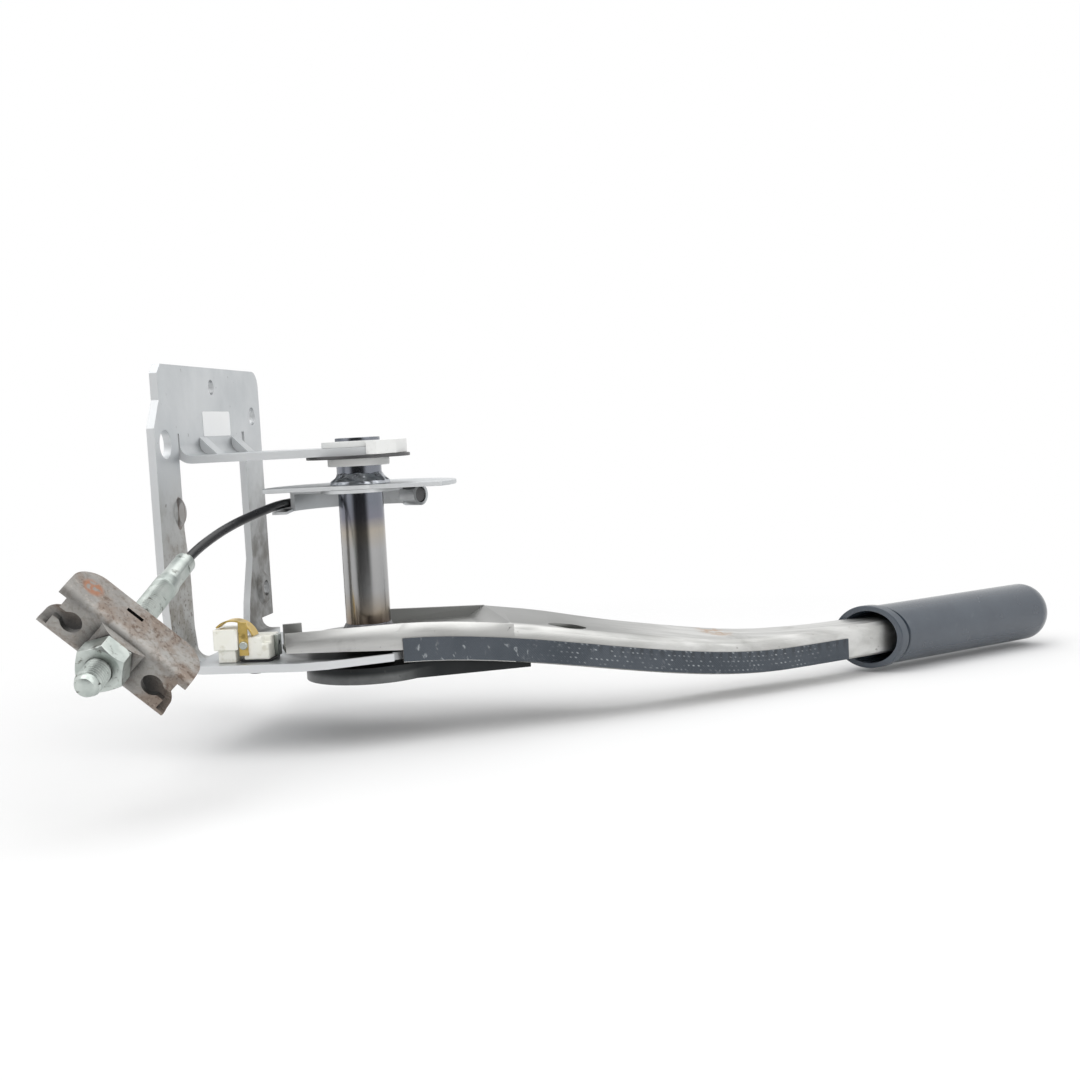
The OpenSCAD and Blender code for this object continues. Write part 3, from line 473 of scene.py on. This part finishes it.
def bright_steel():
    """Greenish plating of the small steel pieces, with grime, and painted shade in the corners."""
    f = Finish("bright_steel")
    f.set(Metallic=0.95)
    colour = f.mix(f.between(f.noise(130.0, 4.0), 0.3, 0.7), (0.42, 0.465, 0.44), (0.58, 0.62, 0.59))
    grime = f.between(f.noise(330.0, 5.0, 0.62), 0.57, 0.69)
    colour = f.over(colour, grime, 0.75, (0.09, 0.085, 0.07))
    # Painted shade in the corners
    f.colour(f.over(colour, f.painted_corner_shade(5 * MM), 0.75, (0.07, 0.07, 0.062)))
    f.rough(f.level(f.noise(240.0, 4.0), 0.26, 0.46))
    f.bump(f.noise(900.0, 3.0), 0.12, 0.15 * MM)
    return f


def rusty_steel():
    """Bare sheet of the equalizer: brown film, rust crumbs, an orange patch, and painted shade in the
    hollows.
    """
    f = Finish("rusty_steel")
    f.set(Metallic=0.75)
    colour = f.mix(f.between(f.noise(55.0, 5.0), 0.35, 0.65), (0.29, 0.28, 0.265), (0.39, 0.38, 0.36))
    brown = f.between(f.noise(38.0, 6.0, 0.65, distortion=0.4), 0.44, 0.58)
    colour = f.over(colour, brown, 0.75, (0.235, 0.175, 0.135))
    crumbs = f.between(f.noise(560.0, 4.0, 0.62), 0.50, 0.62)
    colour = f.over(colour, crumbs, f.level(brown, 0.2, 0.65), (0.10, 0.065, 0.045))
    pale = f.between(f.noise(700.0, 3.0), 0.60, 0.68)
    colour = f.over(colour, pale, 0.35, (0.46, 0.41, 0.36))
    patch = f.spot(EQUALIZER_RUST, 0.0026, 0.0050)
    patch = f.times(patch, f.between(f.noise(230.0, 5.0, distortion=0.5), 0.34, 0.48))
    colour = f.over(colour, patch, 0.85, (0.36, 0.165, 0.09))
    # Painted shade in the hollows
    f.colour(f.mix(f.painted_corner_shade(22 * MM, 0.5), colour, (0.022, 0.021, 0.020)))
    f.rough(f.level(f.noise(150.0, 5.0), 0.42, 0.68))
    f.bump(f.noise(480.0, 5.0, 0.6), 0.28, 0.25 * MM)
    return f


def dark_sheet():
    """Dark plate under the tongue above, and the lower side plate below, under a painted shadow all but
    the low part of its round end.
    """
    f = Finish("dark_sheet")
    f.set(Metallic=0.9)
    z = f.split(f.place)[2]
    s, n, h = f.split(f.along_lever())
    tone = f.between(f.noise(70.0, 5.0), 0.3, 0.7)
    upper = f.mix(tone, (0.10, 0.10, 0.102), (0.15, 0.15, 0.152))
    lower = f.mix(tone, (0.13, 0.135, 0.135), (0.20, 0.205, 0.205))
    # Painted shadow over the lower side plate, all but the low part of its round end
    shaded = f.math("MAXIMUM", f.between(s, 0.002, 0.026), f.between(h, -0.0105, -0.0075))
    lower = f.over(lower, shaded, 0.92, (0.022, 0.024, 0.025))
    colour = f.mix(f.between(z, -0.05, -0.09), upper, lower)
    specks = f.between(f.noise(300.0, 4.0), 0.66, 0.74)
    colour = f.over(colour, specks, 0.6, (0.07, 0.07, 0.07))
    # Painted shade in the corners
    f.colour(f.mix(f.painted_corner_shade(14 * MM), colour, (0.018, 0.019, 0.019)))
    f.rough(f.level(f.noise(190.0, 4.0), 0.34, 0.52))
    f.bump(f.noise(800.0, 3.0), 0.12, 0.15 * MM)
    return f


def weld():
    """Blue-grey bead with soot, and the lower bead sooty all over."""
    f = Finish("weld")
    f.set(Metallic=0.95)
    colour = f.mix(f.between(f.noise(160.0, 4.0), 0.35, 0.65), (0.33, 0.355, 0.39), (0.47, 0.49, 0.52))
    soot = f.between(f.noise(90.0, 5.0), 0.55, 0.7)
    colour = f.over(colour, soot, 0.6, (0.05, 0.05, 0.055))
    sooty = f.between(f.split(f.place)[2], -0.06, -0.085)
    f.colour(f.over(colour, sooty, 0.85, (0.055, 0.05, 0.052)))
    f.rough(f.level(f.noise(260.0, 4.0), 0.2, 0.38))
    f.bump(f.noise(330.0, 3.0), 0.35, 0.5 * MM)
    return f


def brass():
    """Spring brass of the contact leaf, with tarnish."""
    f = Finish("brass")
    f.set(Metallic=1.0)
    colour = f.mix(f.between(f.noise(120.0, 4.0), 0.3, 0.7), (0.58, 0.41, 0.12), (0.80, 0.60, 0.22))
    tarnish = f.between(f.noise(260.0, 5.0), 0.54, 0.68)
    f.colour(f.over(colour, tarnish, 0.7, (0.24, 0.16, 0.05)))
    f.rough(f.level(f.noise(240.0, 4.0), 0.26, 0.44))
    f.bump(f.noise(900.0, 3.0), 0.1, 0.1 * MM)
    return f


# Plastics, paper, cloth
def plastic(name, dark, light, rough=(0.35, 0.5), grain=1500.0, stain=None, share=0.0):
    """Moulded plastic between two tones, with stains over a share where they are given."""
    f = Finish(name)
    colour = f.mix(f.between(f.noise(60.0, 4.0), 0.3, 0.7), dark, light)
    if stain:
        marks = f.between(f.noise(210.0, 5.0, 0.6), 0.56, 0.72)
        colour = f.over(colour, marks, share, stain)
    f.colour(colour)
    f.rough(f.level(f.noise(180.0, 4.0), *rough))
    f.bump(f.noise(grain, 2.0), 0.15, 0.08 * MM)
    return f


def nylon():
    return plastic("nylon", (0.82, 0.825, 0.81), (0.87, 0.875, 0.86), stain=(0.62, 0.61, 0.57), share=0.3)


def cream_plastic():
    yellowed = (0.50, 0.46, 0.30)
    return plastic("cream_plastic", (0.91, 0.905, 0.82), (0.94, 0.935, 0.88), stain=yellowed, share=0.35)


def cable_skin():
    return plastic("cable", (0.010, 0.0105, 0.012), (0.020, 0.021, 0.023), rough=(0.22, 0.36), grain=700.0)


def label():
    """White paper with fibres, a little soiled."""
    f = Finish("label")
    fibres = f.noise(1.0, 4.0, vector=f.mapped(scale=(500.0, 900.0, 260.0)))
    soiled = f.between(f.noise(70.0, 5.0), 0.55, 0.75)
    colour = f.mix(fibres, (0.91, 0.92, 0.92), (0.94, 0.945, 0.945))
    f.colour(f.over(colour, soiled, 0.15, (0.78, 0.78, 0.76)))
    f.rough(f.level(fibres, 0.45, 0.62))
    f.bump(fibres, 0.1, 0.05 * MM)
    return f


def tape():
    """Woven cloth tape: weave, worn stitches, ribs under its top edge and rubbed scratches."""
    f = Finish("tape")
    f.set(Specular_IOR_Level=0.35)
    s, n, h = f.split(f.along_lever())
    drop = f.level(s, -1.0 * MM, ARM_DROP - 1.0 * MM, DROP_FROM, DROP_FROM + DROP_RUN, "SMOOTHSTEP")
    height = f.math("ADD", h, drop)
    weave = f.times(f.waves(s, WEAVE_PITCH), f.waves(height, WEAVE_PITCH))
    patches = f.between(f.noise(32.0, 5.0, 0.6), 0.35, 0.65)
    colour = f.mix(patches, (0.056, 0.068, 0.083), (0.084, 0.098, 0.116))
    colour = f.mix(f.level(weave, 0.0, 0.35, -1.0, 1.0), colour, (0.040, 0.046, 0.055))
    # Upright ribs under the top edge
    wander = f.math("ADD", s, f.level(f.noise(60.0, 2.0), -0.002, 0.002))
    ribs = f.between(f.waves(wander, RIB_PITCH), -0.2, 0.9)
    upper = f.times(f.between(height, -0.001, 0.0045), f.between(s, 0.07, 0.12))
    ribs = f.times(ribs, upper)
    colour = f.over(colour, ribs, 0.55, (0.030, 0.034, 0.040))
    # Rows of pale stitches, worn unevenly
    slanted = f.math("ADD", wander, f.times(height, 0.6))
    columns = f.between(f.waves(slanted, STITCH_PITCH), 0.0, 0.8)
    rows = f.between(f.waves(height, STITCH_ROWS), 0.3, 0.9)
    grain = f.joined(f.times(s, 210.0), f.times(height, 420.0))
    worn = f.between(f.noise(1.0, 4.0, 0.6, vector=grain), 0.46, 0.62)
    band = f.times(f.between(height, -0.0048, -0.003), f.between(s, 0.055, 0.10))
    band = f.times(band, f.level(f.between(s, 0.235, 0.20), 0.1, 1.0))
    dots = f.times(f.times(columns, rows), f.times(worn, band))
    colour = f.over(colour, dots, 0.8, (0.40, 0.43, 0.45))
    # Rubbed scratches near the tray
    scuffs = f.joined(f.times(s, 330.0), f.times(height, 210.0))
    scratch = f.between(f.noise(1.0, 6.0, 0.7, vector=scuffs, distortion=0.8), 0.60, 0.68)
    near_tray = f.level(f.between(s, 0.10, 0.03), 0.2, 0.75)
    f.colour(f.over(colour, scratch, near_tray, (0.42, 0.45, 0.47)))
    f.rough(f.level(weave, 0.5, 0.7, -1.0, 1.0))
    relief = f.math("SUBTRACT", f.math("ADD", weave, dots), f.times(ribs, 2.0))
    f.bump(relief, 0.35, 0.12 * MM)
    return f


def grip():
    """Blue-grey moulded grip with a soft gloss and a few rubbed marks."""
    f = Finish("grip")
    f.set(Specular_IOR_Level=0.8, Coat_Weight=0.3, Coat_Roughness=0.15)
    colour = f.mix(f.between(f.noise(40.0, 4.0), 0.3, 0.7), (0.040, 0.053, 0.072), (0.052, 0.068, 0.089))
    rubbed = f.between(f.noise(150.0, 5.0, 0.62), 0.60, 0.74)
    f.colour(f.over(colour, rubbed, 0.25, (0.10, 0.11, 0.125)))
    f.rough(f.level(f.noise(110.0, 4.0), 0.20, 0.31))
    f.bump(f.noise(1700.0, 2.0), 0.14, 0.08 * MM)
    return f


finishes = {
    "zinc_sheet": zinc_sheet(),
    "lever_steel": lever_steel(),
    "tinted_steel": tinted_steel(),
    "bright_steel": bright_steel(),
    "dark_sheet": dark_sheet(),
    "weld": weld(),
    "rusty_steel": rusty_steel(),
    "nylon": nylon(),
    "cream_plastic": cream_plastic(),
    "black_plastic": plastic("black_plastic", (0.012, 0.012, 0.013), (0.022, 0.022, 0.023)),
    "brass": brass(),
    "label": label(),
    "cable": cable_skin(),
    "tape": tape(),
    "grip": grip(),
    "button": plastic("button", (0.02, 0.022, 0.026), (0.03, 0.032, 0.036)),
}
slot_of = {row["node"]: row["material_slot"] for row in frame["record"]["subparts"]}


def dress(piece, slot):
    piece.data.materials.clear()
    piece.data.materials.append(finishes[slot].material)


def alone(piece):
    bpy.ops.object.select_all(action="DESELECT")
    piece.select_set(True)
    bpy.context.view_layer.objects.active = piece


def settle(piece, name):
    """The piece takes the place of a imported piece, with its body and its finish."""
    dress(piece, slot_of[name])
    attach(piece, nodes[name]["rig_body"])
    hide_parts(name)


def plain_copy(name):
    """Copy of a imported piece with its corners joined, ready for more work."""
    piece = bpy.data.objects.new(name + "_dressed", nodes[name].data.copy())
    bpy.context.scene.collection.objects.link(piece)
    alone(piece)
    bpy.ops.object.mode_set(mode="EDIT")
    bpy.ops.mesh.select_all(action="SELECT")
    bpy.ops.mesh.remove_doubles(threshold=1e-6)
    bpy.ops.mesh.customdata_custom_splitnormals_clear()
    bpy.ops.mesh.dissolve_limited(angle_limit=radians(0.4))
    bpy.ops.object.mode_set(mode="OBJECT")
    return piece


def along(place):
    """Run of a place along the lever, from the pivot."""
    away = place - PIVOT
    return away.x * cos(LEVER_ANGLE) + away.y * sin(LEVER_ANGLE)


def mark_edges(piece, seam, outer):
    """Bevel weight on sharp edges, outside the lever's seam, and on outer edges alone where asked."""
    mesh = bmesh.new()
    mesh.from_mesh(piece.data)
    weight = mesh.edges.layers.float.new("bevel_weight_edge")
    for edge in mesh.edges:
        turn = edge.calc_face_angle_signed(0.0) if len(edge.link_faces) == 2 else 0.0
        sharp = turn > SHARP_FROM or (turn < -SHARP_FROM and not outer)
        in_seam = seam and all(abs(along(corner.co) - TRAY_END) < 0.1 * MM for corner in edge.verts)
        edge[weight] = 1.0 if sharp and not in_seam else 0.0
    mesh.to_mesh(piece.data)
    mesh.free()


def softened(name, width, segments):
    """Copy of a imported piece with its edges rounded, and flat faces kept flat beside them."""
    piece = plain_copy(name)
    pressing = name in PRESSINGS
    if name == "equalizer":
        for radius, turn in EQUALIZER_CORNERS:
            round_corners(piece, EQUALIZER_SHEET, radius, turn)
    if name == "lever_shell":
        roll_rim(piece, RIM_ROLL, RIM_LEAN)
    mark_edges(piece, pressing, name == "lever_shell")
    bevel = piece.modifiers.new("edges", "BEVEL")
    bevel.limit_method = "WEIGHT"
    bevel.width = width * MM
    bevel.segments = segments
    bpy.ops.object.modifier_apply(modifier="edges")
    bpy.ops.object.shade_smooth_by_angle(angle=SMOOTH_TO)
    if not pressing:
        flat = piece.modifiers.new("flat", "WEIGHTED_NORMAL")
        flat.keep_sharp = True
        bpy.ops.object.modifier_apply(modifier="flat")
    settle(piece, name)


def roll_rim(piece, height, lean):
    """Leans the top of the tray's back wall inwards, over a given height, as its rim is rolled."""
    inwards = Vector((-sin(LEVER_ANGLE), cos(LEVER_ANGLE), 0.0))
    bpy.ops.object.mode_set(mode="EDIT")
    bpy.ops.mesh.select_mode(type="FACE")
    bpy.ops.mesh.select_all(action="DESELECT")
    mesh = bmesh.from_edit_mesh(piece.data)
    for face in mesh.faces:
        across = (face.calc_center_median() - PIVOT).dot(inwards)
        face.select_set(face.normal.dot(inwards) < -0.999 and abs(across + WALL_OFFSET) < 0.1 * MM)
    bmesh.update_edit_mesh(piece.data)
    bpy.ops.mesh.inset(thickness=height, depth=0.0)
    bpy.ops.mesh.select_mode(type="VERT")
    bpy.ops.mesh.select_all(action="DESELECT")
    mesh = bmesh.from_edit_mesh(piece.data)
    for corner in mesh.verts:
        run = along(corner.co)
        on_wall = abs((corner.co - PIVOT).dot(inwards) + WALL_OFFSET) < 0.1 * MM
        on_rim = abs(corner.co.z - PIVOT.z - rim_top(run)) < 0.4 * MM
        corner.select_set(on_wall and on_rim and run < TRAY_END - RIM_RUN_OUT)
    bmesh.update_edit_mesh(piece.data)
    bpy.ops.transform.translate(value=lean * inwards)
    bpy.ops.object.mode_set(mode="OBJECT")


def rim_top(run):
    """Height of the back wall's rim above the pivot, at a run along the lever."""
    share = max(0.0, min(1.0, (run - DROP_FROM) / DROP_RUN))
    return RIM_TOP - ARM_DROP * share * share * (3.0 - 2.0 * share)


def round_corners(piece, sheet, radius, turn):
    """Rounds a pressed sheet's outline, at the corners whose turn lies between two angles."""
    bpy.ops.object.mode_set(mode="EDIT")
    bpy.ops.mesh.select_mode(type="EDGE")
    bpy.ops.mesh.select_all(action="DESELECT")
    mesh = bmesh.from_edit_mesh(piece.data)
    for edge in mesh.edges:
        through = abs(edge.calc_length() - sheet) < 0.05 * MM
        angle = edge.calc_face_angle_signed(0.0) if len(edge.link_faces) == 2 else 0.0
        edge.select_set(through and radians(turn[0]) < angle < radians(turn[1]))
    bmesh.update_edit_mesh(piece.data)
    bpy.ops.mesh.bevel(offset=radius, segments=5, affect="EDGES", clamp_overlap=True)
    bpy.ops.mesh.select_mode(type="VERT")
    bpy.ops.object.mode_set(mode="OBJECT")


for name, node in nodes.items():
    dress(node, slot_of[name])

for name, (width, segments) in EDGES.items():
    softened(name, width, segments)


# Weld beads, with lumps
def bead(name, lump):
    piece = plain_copy(name)
    bpy.ops.object.mode_set(mode="EDIT")
    bpy.ops.mesh.select_all(action="SELECT")
    bpy.ops.mesh.quads_convert_to_tris()
    bpy.ops.mesh.subdivide(number_cuts=3)
    bpy.ops.object.mode_set(mode="OBJECT")
    lumps = bpy.data.textures.new(name + "_lumps", "CLOUDS")
    lumps.noise_scale = 5.0 * MM
    lumps.noise_depth = 1
    push = piece.modifiers.new("lumps", "DISPLACE")
    push.texture = lumps
    push.texture_coords = "LOCAL"
    push.strength = lump
    push.mid_level = 0.5
    bpy.ops.object.modifier_apply(modifier="lumps")
    bpy.ops.object.shade_smooth()
    settle(piece, name)


bead("sector_weld", 1.5 * MM)
bead("shell_weld", 0.8 * MM)


# Return spring of the button, copied and shaded smooth; its seat towards the disc is worked out but not
# used
def return_spring():
    piece = plain_copy("button_spring")
    bpy.ops.object.shade_smooth()
    settle(piece, "button_spring")
    ahead = Vector((cos(LEVER_ANGLE), sin(LEVER_ANGLE), 0.0))
    runs = [along(corner.co) for corner in piece.data.vertices]
    seat = PIVOT + min(runs) * ahead
    seat.z = sum(corner.co.z for corner in piece.data.vertices) / len(runs)
    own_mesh(piece)


return_spring()


# Blank label with rounded corners
def paper_label():
    low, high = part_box("label")
    bpy.ops.mesh.primitive_plane_add(size=1.0)
    piece = bpy.context.object
    piece.name = "paper_label"
    piece.scale = (high.z - low.z, high.y - low.y, 1.0)
    piece.rotation_euler = (0.0, radians(90), 0.0)
    piece.location = ((low.x + high.x) / 2, (low.y + high.y) / 2, (low.z + high.z) / 2)
    bpy.ops.object.transform_apply(location=True, rotation=True, scale=True)
    bpy.ops.object.mode_set(mode="EDIT")
    bpy.ops.mesh.select_all(action="SELECT")
    bpy.ops.mesh.bevel(affect="VERTICES", offset=LABEL_CORNER, segments=6)
    bpy.ops.object.mode_set(mode="OBJECT")
    thick = piece.modifiers.new("thick", "SOLIDIFY")
    thick.thickness = high.x - low.x
    thick.offset = 0.0
    bpy.ops.object.modifier_apply(modifier="thick")
    settle(piece, "label")


paper_label()


# Adjuster rod with a rolled thread
def drawn_profile(name, places):
    """One corner drawn on from place to place, as the profile of a turned piece."""
    bpy.ops.object.select_all(action="DESELECT")
    bpy.ops.mesh.primitive_plane_add(size=MM)
    piece = bpy.context.object
    piece.name = name
    bpy.ops.object.mode_set(mode="EDIT")
    bpy.ops.mesh.select_all(action="SELECT")
    bpy.ops.mesh.merge(type="CENTER")
    bpy.ops.transform.translate(value=places[0])
    for before, after in zip(places, places[1:]):
        step = Vector(after) - Vector(before)
        bpy.ops.mesh.extrude_region_move(TRANSFORM_OT_translate={"value": step})
    bpy.ops.object.mode_set(mode="OBJECT")
    return piece


def turned(name, profile, steps=40, rise=0.0, turns=1):
    """Profile of (radius, height) pairs swept round the Z axis, as a screw where it rises."""
    piece = drawn_profile(name, [(r, 0.0, z) for r, z in profile])
    sweep = piece.modifiers.new("sweep", "SCREW")
    sweep.axis = "Z"
    sweep.angle = 2 * pi
    sweep.screw_offset = rise
    sweep.iterations = turns
    sweep.steps = sweep.render_steps = steps
    sweep.use_merge_vertices = rise == 0.0
    sweep.merge_threshold = 1e-6
    bpy.ops.object.modifier_apply(modifier="sweep")
    bpy.ops.object.mode_set(mode="EDIT")
    bpy.ops.mesh.select_all(action="SELECT")
    bpy.ops.mesh.remove_doubles(threshold=1e-6)
    bpy.ops.mesh.normals_make_consistent(inside=False)
    bpy.ops.object.mode_set(mode="OBJECT")
    return piece


def threaded_rod():
    root = ROD_RADIUS - THREAD_DEPTH
    core = root - 0.05 * MM
    crest = ROD_RADIUS - 0.05 * MM
    plain_end = ROD_START + PLAIN_RUN
    turns = int((ROD_END - 3.0 * MM - plain_end) / THREAD_PITCH)
    thread_end = plain_end + turns * THREAD_PITCH
    thread = turned("thread", [
        (root, plain_end),
        (crest, plain_end + 0.44 * THREAD_PITCH),
        (crest, plain_end + 0.56 * THREAD_PITCH),
        (root, plain_end + THREAD_PITCH),
    ], steps=32, rise=THREAD_PITCH, turns=turns)
    collar = turned("collar", [
        (0.5 * MM, ROD_START),
        (ROD_RADIUS - 0.8 * MM, ROD_START),
        (ROD_RADIUS - 0.1 * MM, ROD_START + 0.7 * MM),
        (ROD_RADIUS, ROD_START + 1.0 * MM),
        (ROD_RADIUS, plain_end),
        (root, plain_end + 0.7 * MM),
        (core, plain_end + 2.0 * MM),
        (core, thread_end),
        (root, thread_end + THREAD_PITCH),
        (root - 0.1 * MM, ROD_END - 1.6 * MM),
        (root - 0.7 * MM, ROD_END - 0.5 * MM),
        (root - 1.7 * MM, ROD_END - 0.05 * MM),
        (0.02 * MM, ROD_END),
    ])
    alone(thread)
    collar.select_set(True)
    bpy.ops.object.join()
    piece = bpy.context.object
    piece.name = "rolled_rod"
    piece.rotation_euler = (radians(90) + ROD_TILT, 0.0, 0.0)
    piece.location = ROD_MOUTH
    bpy.ops.object.transform_apply(location=True, rotation=True, scale=True)
    bpy.ops.object.shade_smooth_by_angle(angle=radians(30))
    settle(piece, "threaded_rod")


threaded_rod()


# Free cable, bent between the groove and the sleeve
def cable():
    data = bpy.data.curves.new("free_cable", "CURVE")
    data.dimensions = "3D"
    data.bevel_depth = CABLE_RADIUS
    data.bevel_resolution = 6
    data.resolution_u = 12
    data.use_fill_caps = True
    spline = data.splines.new("BEZIER")
    spline.bezier_points.add(len(CABLE_ROUTE) - 1)
    for point, place in zip(spline.bezier_points, CABLE_ROUTE):
        point.co = place
        point.handle_left_type = point.handle_right_type = "AUTO"
    piece = bpy.data.objects.new("free_cable", data)
    bpy.context.scene.collection.objects.link(piece)
    alone(piece)
    bpy.ops.object.convert(target="MESH")
    piece = bpy.context.object
    bpy.ops.object.shade_smooth()
    dress(piece, "cable")
    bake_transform(piece)
    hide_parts("cable_free")


cable()


# Studio
def pale_floor():
    """Round floor that keeps the shadow and fades into the white far out."""
    low = cad_box[0][2] - FLOOR_GAP
    middle = (Vector(cad_box[0]) + Vector(cad_box[1])) / 2
    bpy.ops.object.select_all(action="DESELECT")
    bpy.ops.mesh.primitive_circle_add(vertices=96, radius=FLOOR_RADIUS, fill_type="NGON",
                                      location=(middle.x, middle.y, low))
    floor = bpy.context.object
    floor.name = "floor"
    bpy.ops.object.transform_apply(location=True, rotation=True, scale=True)
    f = Finish("floor")
    f.set(Roughness=0.9, Specular_IOR_Level=0.1)
    f.colour(f.mix(f.noise(2.0), (0.87, 0.87, 0.87), (0.89, 0.89, 0.89)))
    spread = f.add("ShaderNodeVectorMath", operation="LENGTH")
    f.link(f.mapped(shift=(-middle.x, -middle.y, -low)), spread.inputs[0])
    paper = f.add("ShaderNodeEmission")
    path = f.add("ShaderNodeLightPath")
    outer = f.between(spread.outputs["Value"], FLOOR_FADE, FLOOR_RADIUS)
    blend = f.add("ShaderNodeMixShader")
    f.link(f.times(outer, path.outputs["Is Camera Ray"]), blend.inputs[0])
    f.link(f.shader.outputs["BSDF"], blend.inputs[1])
    f.link(paper.outputs["Emission"], blend.inputs[2])
    f.link(blend.outputs["Shader"], f.tree.nodes["Material Output"].inputs["Surface"])
    floor.data.materials.append(f.material)


def white_tent():
    """White all round for the camera; reflections see a tent whose open side is dim."""
    world = bpy.data.worlds.new("studio")
    bpy.context.scene.world = world
    world.use_nodes = True
    tree = world.node_tree
    background = tree.nodes["Background"]
    path = tree.nodes.new("ShaderNodeLightPath")
    place = tree.nodes.new("ShaderNodeTexCoord")
    side = tree.nodes.new("ShaderNodeVectorMath")
    side.operation = "DOT_PRODUCT"
    side.inputs[1].default_value = OPEN_SIDE
    tree.links.new(place.outputs["Generated"], side.inputs[0])
    tent = tree.nodes.new("ShaderNodeMapRange")
    tent.interpolation_type = "SMOOTHSTEP"
    tent.inputs["From Min"].default_value = OPEN_FROM
    tent.inputs["From Max"].default_value = OPEN_TO
    tent.inputs["To Min"].default_value = 1.0
    tent.inputs["To Max"].default_value = OPEN_GLOW
    tree.links.new(side.outputs["Value"], tent.inputs["Value"])
    mirrored = tree.nodes.new("ShaderNodeMath")
    mirrored.operation = "MAXIMUM"
    tree.links.new(path.outputs["Is Glossy Ray"], mirrored.inputs[0])
    tree.links.new(path.outputs["Is Transmission Ray"], mirrored.inputs[1])
    seen = tree.nodes.new("ShaderNodeMix")
    seen.data_type = "FLOAT"
    tree.links.new(mirrored.outputs[0], seen.inputs[0])
    seen.inputs[2].default_value = AMBIENT
    tree.links.new(tent.outputs["Result"], seen.inputs[3])
    strength = tree.nodes.new("ShaderNodeMix")
    strength.data_type = "FLOAT"
    tree.links.new(path.outputs["Is Camera Ray"], strength.inputs[0])
    tree.links.new(seen.outputs[0], strength.inputs[2])
    strength.inputs[3].default_value = 1.0
    tree.links.new(strength.outputs[0], background.inputs["Strength"])
    background.inputs["Color"].default_value = (1, 1, 1, 1)


def lamps():
    for name, place, size, power in LAMPS:
        lamp = bpy.data.lights.new(name, "AREA")
        lamp.size = size
        lamp.energy = power
        holder = bpy.data.objects.new(name, lamp)
        bpy.context.scene.collection.objects.link(holder)
        holder.location = place
        holder.rotation_euler = (LAMP_AIM - place).to_track_quat("-Z", "Y").to_euler()


pale_floor()
white_tent()
lamps()
bpy.context.scene.view_settings.view_transform = "Standard"
